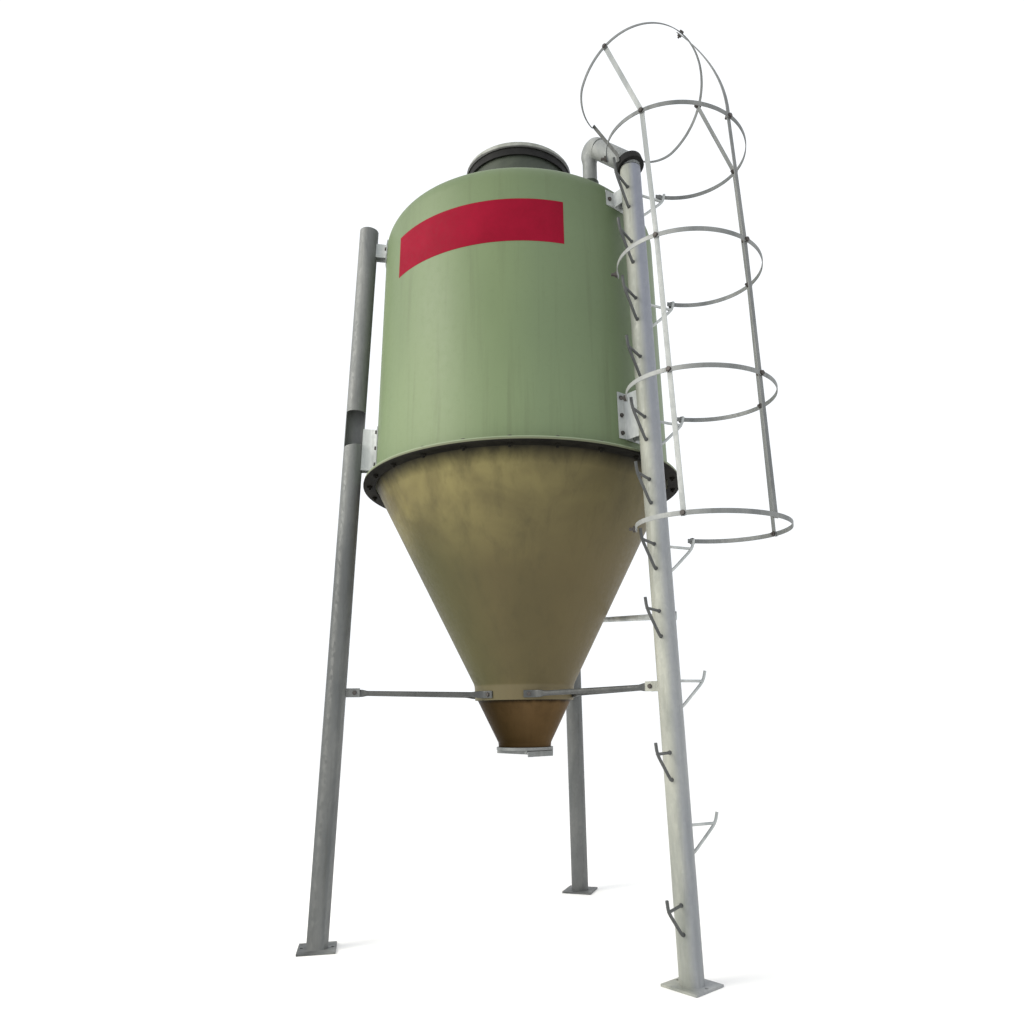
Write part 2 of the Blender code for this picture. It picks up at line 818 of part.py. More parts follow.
for number in range(1, STEP_COUNT + 1):
    step(f"step_{number:02d}", step_z(number), -1 if number % 2 else 1)
for number, hoop_set in enumerate(HOOPS, 1):
    near_rise = LAST_TIP_RISE if number == len(HOOPS) else STEP_TIP_RISE
    step(f"hoop_bracket_{number}", step_z(hoop_set[0]), -1, near_rise)

# Cage: flat hoops round the climber, three straps inside them, and a leaning hoop on top


def leaning(tilt, roll):
    return Matrix.Rotation(-math.radians(tilt), 3, "Y") @ Matrix.Rotation(math.radians(roll), 3, "X")


hoop_centres = [
    leg_axis(0.0, step_z(number), out) + Vector((0, HOOP_ASIDE, rise)) for number, out, rise, _, _ in HOOPS
]
hoop_leans = [leaning(tilt, roll) for _, _, _, tilt, roll in HOOPS]
tip_x = STEP_REACH * math.cos(math.radians(STEP_AZIMUTH)) - HOOPS[0][1]
tip_y = STEP_REACH * math.sin(math.radians(STEP_AZIMUTH))
hoop_end = math.degrees(math.atan2(tip_y, tip_x)) + 4.0


def hoop(name, centre, lean, radius, end, curl, count=34):
    """Flat bar on an arc; its last 35 degrees at each end draw inwards by the curl."""
    path = []
    for i in range(count + 1):
        turn = -end + 2.0 * end * i / count
        drawn = max(0.0, (abs(turn) - end + 35.0) / 35.0) ** 1.45
        path.append(centre + lean @ polar(radius - curl * drawn, turn))
    halves = [(BAR_THICK / 2, HOOP_WIDTH / 2)] * len(path)
    return loft(name, rings_along(path, halves, lean @ Vector((0, 0, 1))), ZINC)


for number, (centre, lean) in enumerate(zip(hoop_centres, hoop_leans), 1):
    hoop(f"hoop_{number}", centre, lean, HOOP_RADIUS, hoop_end, HOOP_CURL)
top_centre = Vector((TOP_HOOP_X, 0.0, TOP_HOOP_Z))
top_lean = leaning(TOP_HOOP_TILT, TOP_HOOP_ROLL)
hoop("top_hoop", top_centre, top_lean, TOP_HOOP_RADIUS, TOP_HOOP_END, TOP_HOOP_CURL, 40)

for label, (low_angle, high_angle) in STRAP_ANGLES.items():
    path = []
    sides = []
    for number, (centre, lean) in enumerate(zip(hoop_centres, hoop_leans)):
        angle = low_angle + (high_angle - low_angle) * number / (len(HOOPS) - 1)
        path.append(centre + lean @ polar(HOOP_RADIUS - STRAP_INSET, angle))
        sides.append(lean @ polar(1.0, angle + 90.0))
    below = path[0] + (path[0] - path[1]).normalized() * 0.011
    path.insert(0, below)
    sides.insert(0, sides[0])
    above = top_lean @ Vector((0, 0, 1))
    top_angle = TOP_STRAP_ANGLES[label]
    last = top_centre + top_lean @ polar(TOP_HOOP_RADIUS - TOP_STRAP_INSET, top_angle)
    first = path[-1]
    handle = (first + last) / 2
    if label == STRAP_BOWED:
        handle = last - above * BOW_DROP - top_lean @ polar(BOW_IN, top_angle)
    bow_steps = 8
    top_side = top_lean @ polar(1.0, top_angle + 90.0)
    start_side = sides[-1]
    for i in range(1, bow_steps + 1):
        t = i / bow_steps
        path.append(first * (1 - t) ** 2 + handle * (2 * t * (1 - t)) + last * t**2)
        sides.append((start_side * (1 - t) + top_side * t).normalized())
    path.append(last + above * 0.022)
    sides.append(top_side)
    rings = []
    for point, along, side in zip(path, directions(path), sides):
        face = side.cross(along).normalized() * (BAR_THICK / 2)
        flank = along.cross(face).normalized() * (STRAP_WIDTH / 2)
        low, high = point - flank, point + flank
        rings.append([low - face, low + face, high + face, high - face])
    loft(f"strap_{label}", rings, ZINC, smooth=False)

# Fill pipe: rises off the ladder leg and turns down into the roof through a full elbow

pipe_low = leg_axis(0.0, LADDER_LEG_TOP + GAP + TUBE_RADIUS * LEG_LEAN * 2)
pipe_turn = leg_axis(0.0, PIPE_TURN_Z)
rise = Vector((-math.cos(math.radians(PIPE_SLOPE)), 0.0, math.sin(math.radians(PIPE_SLOPE))))
crease_x = PIPE_DOWN_X + DROP_RADIUS + ELBOW_CREASE
crease_out = Vector((rise.z, 0.0, -rise.x))
reach = (crease_x - pipe_turn.x + crease_out.x * (PIPE_RADIUS + ELBOW_CREASE)) / rise.x
elbow_start = pipe_turn + rise * reach
crease = elbow_start - crease_out * (PIPE_RADIUS + ELBOW_CREASE)


def pipe_rings(grow, drop=0.0, count=20):
    """Rings of the fill pipe, its radii changed by a set amount."""
    path = [pipe_low - Vector((0, 0, drop)), pipe_turn, elbow_start]
    wide = PIPE_RADIUS + grow
    rings = rings_along(path, [(wide, wide)] * len(path), Vector((0, 1, 0)), count)
    first = 90.0 - PIPE_SLOPE
    for share, across in ELBOW_FULLNESS:
        angle = math.radians(first + (180.0 - first) * share)
        outward = Vector((math.cos(angle), 0.0, math.sin(angle)))
        middle = crease + outward * (across / 2 + ELBOW_CREASE)
        high = PIPE_RADIUS + (DROP_RADIUS - PIPE_RADIUS) * share + grow
        turns = [math.tau * i / count for i in range(count)]
        rings.append(
            [
                middle
                - outward * ((across / 2 + grow) * math.cos(turn))
                + Vector((0, high * math.sin(turn), 0))
                for turn in turns
            ]
        )
    slim = DROP_RADIUS + grow
    foot = Vector((PIPE_DOWN_X, 0.0, PIPE_END_Z))
    ends = rings_along([foot + Vector((0, 0, 0.05)), foot], [(slim, slim)] * 2, Vector((0, 1, 0)), count)
    rings.append(ends[1])
    return rings


loft("fill_pipe", pipe_rings(0.0), ZINC, pipe_rings(-PIPE_WALL))
pipe_tool = loft("pipe_tool", pipe_rings(GAP * 3, 0.003), None)

# Coupling: black collar that leans with the pipe where it leaves the leg
coupling_axis = Vector(
    (-math.sin(math.radians(COUPLING_TILT)), 0.0, math.cos(math.radians(COUPLING_TILT)))
)
coupling_middle = leg_axis(0.0, COUPLING_Z)
coupling = cylinder(
    "pipe_coupling",
    coupling_middle - coupling_axis * COUPLING_HALF,
    coupling_middle + coupling_axis * COUPLING_HALF,
    COUPLING_RADIUS,
    RUBBER,
)
combine(coupling, pipe_tool, "DIFFERENCE")
combine(coupling, bpy.data.objects["tube_tool_ladder"], "DIFFERENCE")

# Inlet: collar on the roof round the pipe's end
inlet = cylinder(
    "roof_inlet",
    Vector((PIPE_DOWN_X, 0.0, SHOULDER_Z)),
    Vector((PIPE_DOWN_X, 0.0, INLET_TOP)),
    INLET_RADIUS,
    GREEN_GRP,
)
roof_tool = turned(
    "roof_tool",
    [
        (0.0, roof_z(0.0) + GAP * 2),
        (edge_outer[0], edge_outer[1] + GAP * 2),
    ]
    + arc(shoulder_centre, SHOULDER_Z, SHOULDER_RADIUS + GAP * 2, SHOULDER_ARC - 1.0, 0.0, 12)
    + [(0.0, SHOULDER_Z)],
    None,
    192,
)
combine(inlet, pipe_tool, "DIFFERENCE")
combine(inlet, roof_tool, "DIFFERENCE")

# Arms that tie the leaning hoop's two ends to the coupling
for side, label in ((-1, "near"), (1, "far")):
    hoop_spot = top_centre + top_lean @ polar(
        TOP_HOOP_RADIUS - TOP_HOOP_CURL * 0.97 - TOP_STRAP_INSET - 0.0035, side * (TOP_HOOP_END - 1.0)
    )
    root = coupling_middle + Vector((-0.012, side * (COUPLING_RADIUS + 0.0035), 0.014))
    path = [root - Vector((0.0, 0.0, 0.022)), root + Vector((0, side * 0.002, 0.012)), hoop_spot]
    halves = [(BAR_THICK / 2, 0.008)] * len(path)
    rings = rings_along(path, halves, Vector((1, 0, 0)))
    loft(f"hoop_arm_{label}", rings, ZINC, smooth=False)
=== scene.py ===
# Feed silo on three legs: skins, fittings, finishes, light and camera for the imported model.
# Metres, +Z up. The silo's own axis stands at axisX, the ladder leg lies along +X from it.

import json
import math

import bmesh
import bpy
import numpy as np
from mathutils import Matrix, Vector


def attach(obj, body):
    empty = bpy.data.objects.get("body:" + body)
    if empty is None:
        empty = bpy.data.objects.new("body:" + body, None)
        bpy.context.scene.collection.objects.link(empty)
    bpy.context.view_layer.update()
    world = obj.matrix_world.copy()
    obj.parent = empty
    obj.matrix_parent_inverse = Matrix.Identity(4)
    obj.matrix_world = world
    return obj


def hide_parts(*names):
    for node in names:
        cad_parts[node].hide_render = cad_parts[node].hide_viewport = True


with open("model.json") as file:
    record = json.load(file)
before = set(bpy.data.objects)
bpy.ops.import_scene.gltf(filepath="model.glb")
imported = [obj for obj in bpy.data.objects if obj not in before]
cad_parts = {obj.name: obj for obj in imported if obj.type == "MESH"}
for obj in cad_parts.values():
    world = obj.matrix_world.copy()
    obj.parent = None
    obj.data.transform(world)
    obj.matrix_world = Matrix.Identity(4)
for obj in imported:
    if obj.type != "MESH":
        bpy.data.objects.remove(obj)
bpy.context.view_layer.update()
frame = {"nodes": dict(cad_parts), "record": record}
nodes = frame["nodes"]
bodyOf = {node: body for body, members in frame["record"]["behaviour"]["bodies"].items() for node in members}
print("frame loaded:", len(nodes), "nodes")

# Where things are, as in the part's source
axisX = -0.34901947
legAzimuths = {"ladder": 0.0, "back": 120.0, "left": -120.0}
legPlan = {"radius": 1.0071, "lean": 0.0419, "tube": 0.0508}


def polar(reach, azimuth, z):
    # x = axisX + reach cos(azimuth), y = reach sin(azimuth), for numbers or whole arrays
    turn = np.radians(azimuth)
    return np.stack(np.broadcast_arrays(axisX + reach * np.cos(turn), reach * np.sin(turn), z), -1)


def heading(azimuth, rise=0.0):
    # unit direction at an azimuth, lifted by rise degrees
    turn, lift = math.radians(azimuth), math.radians(rise)
    return np.array([math.cos(turn) * math.cos(lift), math.sin(turn) * math.cos(lift), math.sin(lift)])


def legPoint(azimuth, z, out=0.0):
    # centre of a leg at height z: radius less lean times z from the silo's axis
    return polar(legPlan["radius"] - legPlan["lean"] * z + out, azimuth, z)


# ---- Camera, light and floor ----

portrait = {
    "spot": (axisX + 3.1148, -2.6925, 1.0924),
    "heading": 138.72,  # degrees from +X to where it looks
    "rise": 10.02,
    "roll": -0.71,
    "lens": 27.415,
    "shiftX": -0.01645,
    "shiftY": 0.06023,
}


def setCamera(plan):
    lens = bpy.data.cameras.new("portraitCamera")
    lens.sensor_width = 36.0
    lens.sensor_fit = "HORIZONTAL"
    lens.lens = plan["lens"]
    lens.shift_x = plan["shiftX"]
    lens.shift_y = plan["shiftY"]
    lens.clip_start = 0.05
    lens.clip_end = 200.0
    ahead = Vector(heading(plan["heading"], plan["rise"]))
    right = ahead.cross(Vector((0, 0, 1))).normalized()
    up = right.cross(ahead)
    roll = math.radians(plan["roll"])
    side = right * math.cos(roll) + up * math.sin(roll)
    top = up * math.cos(roll) - right * math.sin(roll)
    holder = bpy.data.objects.new("portraitCamera", lens)
    bpy.context.scene.collection.objects.link(holder)
    turned = Matrix((side, top, -ahead)).transposed()
    holder.matrix_world = Matrix.Translation(plan["spot"]) @ turned.to_4x4()
    bpy.context.scene.camera = holder
    return right, Vector(heading(plan["heading"]))


cameraRight, cameraAhead = setCamera(portrait)

studio = {
    "skyShade": (0.95, 0.97, 1.0),
    "skyStrength": 1.12,
    "floorShade": (0.96, 0.95, 0.93),
    "keyLeft": 6.0,  # metres to the photograph's left of the silo
    "keyNear": 2.9,
    "keyHigh": 5.2,
    "keySize": 4.5,
    "keyPower": 430.0,
    "keyTint": (1.0, 0.965, 0.87),
}


def areaLight(name, spot, target, size, power, tint):
    lamp = bpy.data.lights.new(name, "AREA")
    lamp.shape = "DISK"
    lamp.size = size
    lamp.energy = power
    lamp.color = tint
    holder = bpy.data.objects.new(name, lamp)
    bpy.context.scene.collection.objects.link(holder)
    holder.location = spot
    holder.rotation_euler = (Vector(target) - Vector(spot)).to_track_quat("-Z", "Y").to_euler()
    return holder


def buildStudio(plan):
    world = bpy.data.worlds.new("paleRoom")
    bpy.context.scene.world = world
    world.use_nodes = True
    sky = world.node_tree.nodes["Background"]
    sky.inputs["Color"].default_value = (*plan["skyShade"], 1.0)
    sky.inputs["Strength"].default_value = plan["skyStrength"]
    keySpot = Vector((axisX, 0, plan["keyHigh"])) - cameraRight * plan["keyLeft"] - cameraAhead * plan["keyNear"]
    areaLight("keyLight", keySpot, (axisX, 0, 2.3), plan["keySize"], plan["keyPower"], plan["keyTint"])
    mesh = bpy.data.meshes.new("studioFloor")
    half = 90.0
    mesh.from_pydata([(-half, -half, 0), (half, -half, 0), (half, half, 0), (-half, half, 0)], [], [(0, 1, 2, 3)])
    floor = bpy.data.objects.new("studioFloor", mesh)
    bpy.context.scene.collection.objects.link(floor)
    pale = bpy.data.materials.new("paleFloor")
    pale.use_nodes = True
    shader = pale.node_tree.nodes["Principled BSDF"]
    shader.inputs["Base Color"].default_value = (*plan["floorShade"], 1)
    shader.inputs["Roughness"].default_value = 0.95
    mesh.materials.append(pale)
    view = bpy.context.scene.view_settings
    view.view_transform = "Standard"
    view.look = "None"
    view.exposure = 0.0


buildStudio(studio)
print("camera and studio set")

# ---- Finishes ----


class Wiring:
    # one material's node tree, wired in short words; every pattern reads object coordinates
    def __init__(self, name, roughness=0.5, metallic=0.0):
        self.material = bpy.data.materials.new(name)
        self.material.use_nodes = True
        self.tree = self.material.node_tree
        self.shader = self.tree.nodes["Principled BSDF"]
        self.shader.inputs["Roughness"].default_value = roughness
        self.shader.inputs["Metallic"].default_value = metallic
        self.place = self.add("ShaderNodeTexCoord").outputs["Object"]

    def add(self, kind, **settings):
        node = self.tree.nodes.new(kind)
        for key, value in settings.items():
            setattr(node, key, value)
        return node

    def put(self, socket, value):
        if isinstance(value, bpy.types.NodeSocket):
            self.tree.links.new(value, socket)
        elif isinstance(value, (tuple, list)) and len(value) == 3 and socket.type == "RGBA":
            socket.default_value = (*value, 1.0)
        else:
            socket.default_value = value

    def mapped(self, scale=(1, 1, 1), shift=(0, 0, 0)):
        node = self.add("ShaderNodeMapping")
        node.inputs["Scale"].default_value = scale
        node.inputs["Location"].default_value = shift
        self.put(node.inputs["Vector"], self.place)
        return node.outputs["Vector"]

    def noise(self, vector, scale, detail=4.0, rough=0.55, bend=0.0):
        node = self.add("ShaderNodeTexNoise")
        self.put(node.inputs["Vector"], vector)
        node.inputs["Scale"].default_value = scale
        node.inputs["Detail"].default_value = detail
        node.inputs["Roughness"].default_value = rough
        node.inputs["Distortion"].default_value = bend
        return node.outputs["Fac"]

    def cells(self, vector, scale):
        # a random colour in each cell, split into its three numbers
        node = self.add("ShaderNodeTexVoronoi")
        self.put(node.inputs["Vector"], vector)
        node.inputs["Scale"].default_value = scale
        return self.parts(node.outputs["Color"])

    def parts(self, socket):
        node = self.add("ShaderNodeSeparateXYZ")
        self.put(node.inputs[0], socket)
        return node.outputs

    def ramp(self, factor, low, high, first=0.0, last=1.0):
        # straight from first at low to last at high, held beyond both
        node = self.add("ShaderNodeMapRange", clamp=True)
        self.put(node.inputs["Value"], factor)
        for socket, value in zip(("From Min", "From Max", "To Min", "To Max"), (low, high, first, last)):
            node.inputs[socket].default_value = value
        return node.outputs["Result"]

    def sums(self, operation, a, b=0.0):
        node = self.add("ShaderNodeMath", operation=operation)
        self.put(node.inputs[0], a)
        self.put(node.inputs[1], b)
        return node.outputs[0]

    def blend(self, factor, a, b, how="MIX"):
        node = self.add("ShaderNodeMix", data_type="RGBA", blend_type=how)
        self.put(node.inputs[0], factor)
        self.put(node.inputs[6], a)
        self.put(node.inputs[7], b)
        return node.outputs[2]

    def height(self):
        return self.parts(self.place)[2]

    def azimuth(self):
        # radians round the silo's own axis
        spot = self.parts(self.mapped(shift=(-axisX, 0, 0)))
        return self.sums("ARCTAN2", spot[1], spot[0])

    def colour(self, value):
        self.put(self.shader.inputs["Base Color"], value)

    def sheen(self, value):
        self.put(self.shader.inputs["Roughness"], value)

    def bumps(self, height, strength, depth):
        node = self.add("ShaderNodeBump")
        node.inputs["Strength"].default_value = strength
        node.inputs["Distance"].default_value = depth
        self.put(node.inputs["Height"], height)
        self.put(self.shader.inputs["Normal"], node.outputs["Normal"])


gelcoat = {
    "clean": (0.116, 0.159, 0.075),
    "faded": (0.142, 0.189, 0.091),
    "second": (0.108, 0.151, 0.081),
    "low": (0.178, 0.232, 0.122),
    "lowLevels": (2.28, 2.95),
    "high": (0.078, 0.112, 0.052),
    "highLevels": (3.40, 3.68),
    "grimeAndShade": (0.060, 0.068, 0.032),
    "joint": -47.0,  # azimuth where the wall turns darker and greener, over the half away from the key light
    "gloss": 0.46,
    "grimeLow": 2.30,
    "grimeHigh": 2.50,
    "edge": (0.225, 0.265, 0.170),
    "edgeTop": 2.2904,
}


def gelcoatFinish(plan, name="greenGelcoat"):
    w = Wiring(name)
    w.shader.inputs["Specular IOR Level"].default_value = 0.35
    broad = w.noise(w.mapped((1, 1, 0.55)), 1.6, 3.0, 0.5, 0.4)
    runs = w.noise(w.mapped((9, 9, 0.35)), 2.0, 5.0, 0.6, 0.2)
    fine = w.noise(w.mapped(), 38.0, 5.0, 0.65)
    base = w.blend(w.ramp(broad, 0.35, 0.68), plan["clean"], plan["faded"])
    turned = w.sums("SUBTRACT", w.azimuth(), math.radians(plan["joint"]))
    half = w.ramp(w.sums("SINE", turned), 0.0, 0.22, 0.0, 0.5)
    base = w.blend(half, base, plan["second"])
    # painted light: the wall is lighter towards its foot, as light thrown up from below
    base = w.blend(w.ramp(w.height(), *plan["lowLevels"], 0.34, 0.0), base, plan["low"])
    base = w.blend(w.ramp(w.height(), *plan["highLevels"], 0.0, 0.38), base, plan["high"])
    foot = w.ramp(w.sums("ADD", w.height(), w.sums("MULTIPLY", broad, -0.35)), plan["grimeLow"] - 0.18, plan["grimeHigh"] - 0.18, 0.05, 0.0)
    base = w.blend(foot, base, plan["grimeAndShade"])
    base = w.blend(w.ramp(runs, 0.52, 0.80, 0.0, 0.34), base, plan["grimeAndShade"])
    base = w.blend(w.ramp(fine, 0.55, 0.85, 0.0, 0.12), base, plan["grimeAndShade"])
    # painted highlight: the moulding's flange at the joint is painted pale along its lit edge
    litEdge = w.ramp(w.height(), plan["edgeTop"] - 0.0004, plan["edgeTop"], 0.85, 0.0)
    base = w.blend(w.sums("MULTIPLY", litEdge, w.ramp(broad, 0.25, 0.55, 0.45, 1.0)), base, plan["edge"])
    w.colour(base)
    w.sheen(w.ramp(w.sums("ADD", broad, w.sums("MULTIPLY", fine, 0.5)), 0.4, 1.1, plan["gloss"] - 0.06, plan["gloss"] + 0.16))
    wave = w.noise(w.mapped((1, 1, 0.3)), 5.0, 2.0, 0.5)
    w.bumps(w.sums("ADD", w.sums("MULTIPLY", fine, 0.12), wave), 0.22, 0.012)
    return w.material


coneCoat = {
    "clean": (0.100, 0.082, 0.038),
    "gold": (0.262, 0.228, 0.092),
    "goldRight": 0.20,
    "shine": 0.12,
    "leftSide": (-0.85, -0.25),
    "shade": (0.066, 0.056, 0.029),
    "gloss": 0.46,
    "goldLow": 1.75,
    "goldHigh": 2.26,
    # painted shadow under the black ring, then a painted highlight on the flange's edge
    "underShadow": (0.010, 0.009, 0.005),
    "underShadowLow": 2.198,
    "underShadowHigh": 2.266,
    "edge": (0.150, 0.160, 0.100),
    "skirt": 1.230,
    "skirtShade": (0.165, 0.138, 0.085),
    "left": (0.056, 0.062, 0.024),
    "leftTop": 2.12,
    "right": (0.150, 0.118, 0.060),
    "flanks": (0.55, 0.50),
}


coneFront = -40.8  # azimuth between the two flanks


def coneFinish(plan, name="oliveCone"):
    w = Wiring(name)
    w.shader.inputs["Specular IOR Level"].default_value = plan["shine"]
    side = w.sums("SINE", w.sums("SUBTRACT", w.azimuth(), math.radians(coneFront)))
    broad = w.noise(w.mapped((1, 1, 0.8)), 2.4, 4.0, 0.55, 0.6)
    runs = w.noise(w.mapped((8, 8, 0.5)), 1.8, 5.0, 0.6, 0.3)
    fine = w.noise(w.mapped(), 46.0, 5.0, 0.7)
    # painted light: a golden tone towards the top, laid mostly on the lit left flank by the side ramp
    lit = w.sums("MULTIPLY", w.ramp(w.height(), plan["goldLow"], plan["goldHigh"]), w.ramp(broad, 0.25, 0.58))
    lit = w.sums("MULTIPLY", lit, w.ramp(side, -0.75, 0.65, 1.0, plan["goldRight"]))
    base = w.blend(lit, plan["clean"], plan["gold"])
    base = w.blend(w.ramp(runs, 0.48, 0.78, 0.0, 0.5), base, plan["shade"])
    base = w.blend(w.ramp(broad, 0.62, 0.36, 0.0, 0.35), base, plan["shade"])
    # painted light and shade: one flank is greener and darker below its top, the other warmer
    below = w.ramp(w.height(), plan["leftTop"] - 0.30, plan["leftTop"], 1.0, 0.0)
    base = w.blend(w.sums("MULTIPLY", w.ramp(side, *plan["leftSide"], plan["flanks"][0], 0.0), below), base, plan["left"])
    base = w.blend(w.sums("MULTIPLY", w.ramp(side, 0.0, 0.7, 0.0, plan["flanks"][1]), below), base, plan["right"])
    base = w.blend(w.ramp(w.height(), plan["skirt"] - 0.010, plan["skirt"], 0.38, 0.0), base, plan["skirtShade"])
    # painted shadow darkens the cone under the joint above, its lower edge ragged, and the joint's own edge gets a
    # painted highlight (on the lower cone, the same dark as the shadow)
    shadowLine = w.sums("ADD", w.height(), w.sums("MULTIPLY", w.sums("SUBTRACT", runs, 0.5), 0.03))
    base = w.blend(w.ramp(shadowLine, plan["underShadowLow"], plan["underShadowHigh"], 0.0, 0.92), base, plan["underShadow"])
    base = w.blend(w.ramp(w.height(), plan["underShadowHigh"] + 0.0060, plan["underShadowHigh"] + 0.0064), base, plan["edge"])
    w.colour(base)
    w.sheen(w.ramp(fine, 0.3, 0.8, plan["gloss"] - 0.08, plan["gloss"] + 0.15))
    weave = w.noise(w.mapped(), 9.0, 3.0, 0.5)
    w.bumps(w.sums("ADD", w.sums("MULTIPLY", fine, 0.2), weave), 0.25, 0.010)
    return w.material


lowerCoat = {
    "clean": (0.054, 0.032, 0.012),
    "gold": (0.098, 0.060, 0.026),
    "goldRight": 1.0,
    "shine": 0.03,
    "leftSide": (-0.70, 0.10),
    "shade": (0.017, 0.0095, 0.003),
    "gloss": 0.42,
    "goldLow": 0.95,
    "goldHigh": 1.12,
    # painted shadow under the upper cone's skirt, in the same dark on the edge above it
    "underShadow": (0.008, 0.005, 0.002),
    "underShadowLow": 1.132,
    "underShadowHigh": 1.150,
    "edge": (0.008, 0.005, 0.002),
    "skirt": 0.0,
    "skirtShade": (0.036, 0.019, 0.005),
    "left": (0.016, 0.009, 0.001),
    "leftTop": 2.12,
    "right": (0.110, 0.066, 0.026),
    "flanks": (0.85, 0.45),
}


def mottledFinish(name, low, high, roughness, metallic=0.0, scale=14.0, bump=0.15, shine=0.25):
    # two shades mottled by noise, with a light grain
    w = Wiring(name, roughness, metallic)
    w.shader.inputs["Specular IOR Level"].default_value = shine
    broad = w.noise(w.mapped(), scale, 4.0, 0.6, 0.3)
    fine = w.noise(w.mapped(), scale * 9, 4.0, 0.6)
    w.colour(w.blend(w.ramp(w.sums("ADD", w.sums("MULTIPLY", fine, 0.35), broad), 0.45, 0.95), low, high))
    w.sheen(w.ramp(fine, 0.3, 0.75, roughness - 0.08, roughness + 0.10))
    w.bumps(fine, bump, 0.002)
    return w.material


zincCoat = {
    "bright": (0.40, 0.41, 0.395),
    "dull": (0.22, 0.235, 0.235),
    "stain": (0.13, 0.13, 0.105),
    "gloss": 0.50,
    "metal": 0.12,
}
# painted shade down one flank of a leg; side of the leg: sine of the angle from its front, then the share there;
# levels: heights, then the share there
ladderFlank = {
    "leg": "ladder",
    "front": -50.0,
    "across": (-0.25, 0.30, 0.0, 1.0),
    "levels": (1.6, 3.4, 0.55, 0.95),
    "shade": (0.205, 0.218, 0.262),
}
leftFlank = {"leg": "left", "front": -27.0, "across": (-0.45, 0.25, 1.0, 0.0), "levels": (1.85, 2.10, 0.78, 0.0), "shade": (0.052, 0.056, 0.056)}
# cream tint over the whole ladder leg, painted warm light; its shaded flank is laid over it
ladderTint = (1.04, 1.02, 0.91)


def zincFinish(plan, name, dim, flank=None, pale=None):
    # crystals of the dip as cells, cloudy patches, and thin runs of dirt down the piece
    w = Wiring(name, plan["gloss"], plan["metal"])
    shade = {key: tuple(np.multiply(plan[key], dim)) for key in ("bright", "dull", "stain")}
    flake = w.cells(w.mapped((1, 1, 0.6)), 85.0)
    broad = w.noise(w.mapped((3, 3, 0.7)), 2.4, 5.0, 0.62, 0.5)
    runs = w.noise(w.mapped((26, 26, 1.2)), 1.7, 4.0, 0.6)
    base = w.blend(w.ramp(broad, 0.35, 0.68), shade["dull"], shade["bright"])
    base = w.blend(w.ramp(flake[0], 0.0, 1.0, 0.0, 0.22), base, shade["dull"])
    base = w.blend(w.ramp(runs, 0.55, 0.80, 0.0, 0.5), base, shade["stain"])
    x, y, z = (w.parts(w.place)[i] for i in range(3))
    if flank:
        # painted shade down one flank of a leaning leg: angle round the leg's own axis at each height
        turn = math.radians(legAzimuths[flank["leg"]])
        reach = w.sums("SUBTRACT", legPlan["radius"], w.sums("MULTIPLY", z, legPlan["lean"]))
        offX = w.sums("SUBTRACT", w.sums("SUBTRACT", x, axisX), w.sums("MULTIPLY", reach, math.cos(turn)))
        offY = w.sums("SUBTRACT", y, w.sums("MULTIPLY", reach, math.sin(turn)))
        side = w.sums("SINE", w.sums("SUBTRACT", w.sums("ARCTAN2", offY, offX), math.radians(flank["front"])))
        share = w.sums("MULTIPLY", w.ramp(side, *flank["across"]), w.ramp(z, *flank["levels"]))
        base = w.blend(share, base, flank["shade"])
    if pale:
        # painted highlight: paler towards the hoops' near ends, where the bars face the light
        base = w.blend(w.ramp(w.sums("ADD", w.sums("MULTIPLY", x, 0.66), w.sums("MULTIPLY", y, 0.75)), *pale, 0.5, 0.0), base, plan["bright"])
    w.colour(base)
    w.sheen(w.ramp(w.sums("ADD", flake[1], broad), 0.3, 1.5, plan["gloss"] - 0.08, plan["gloss"] + 0.18))
    grain = w.noise(w.mapped(), 160.0, 3.0, 0.6)
    w.bumps(w.sums("ADD", grain, w.sums("MULTIPLY", broad, 3.0)), 0.12, 0.002)
    return w.material


lidCoat = {
    "clean": (0.34, 0.345, 0.32),
    "dull": (0.20, 0.21, 0.18),
    "grimeAndShade": (0.016, 0.016, 0.013),
    "rimLow": 4.150,
    "rimHigh": 4.182,
    "front": -44.0,
}


def lidFinish(plan):
    # painted shade darkens the rim from below, further up its flanks than in front
    w = Wiring("greyLid", 0.55)
    broad = w.noise(w.mapped(), 14.0, 4.0, 0.6, 0.3)
    base = w.blend(w.ramp(broad, 0.35, 0.70), plan["dull"], plan["clean"])
    spread = w.sums("COSINE", w.sums("SUBTRACT", w.azimuth(), math.radians(plan["front"])))
    reach = w.ramp(spread, 0.95, 0.25, plan["rimLow"] + 0.012, plan["rimHigh"] - 0.001)
    level = w.sums("SUBTRACT", w.sums("ADD", w.height(), w.sums("MULTIPLY", broad, 0.006)), reach)
    w.colour(w.blend(w.ramp(level, -0.003, 0.005, 0.95, 0.0), base, plan["grimeAndShade"]))
    w.bumps(broad, 0.12, 0.002)
    return w.material


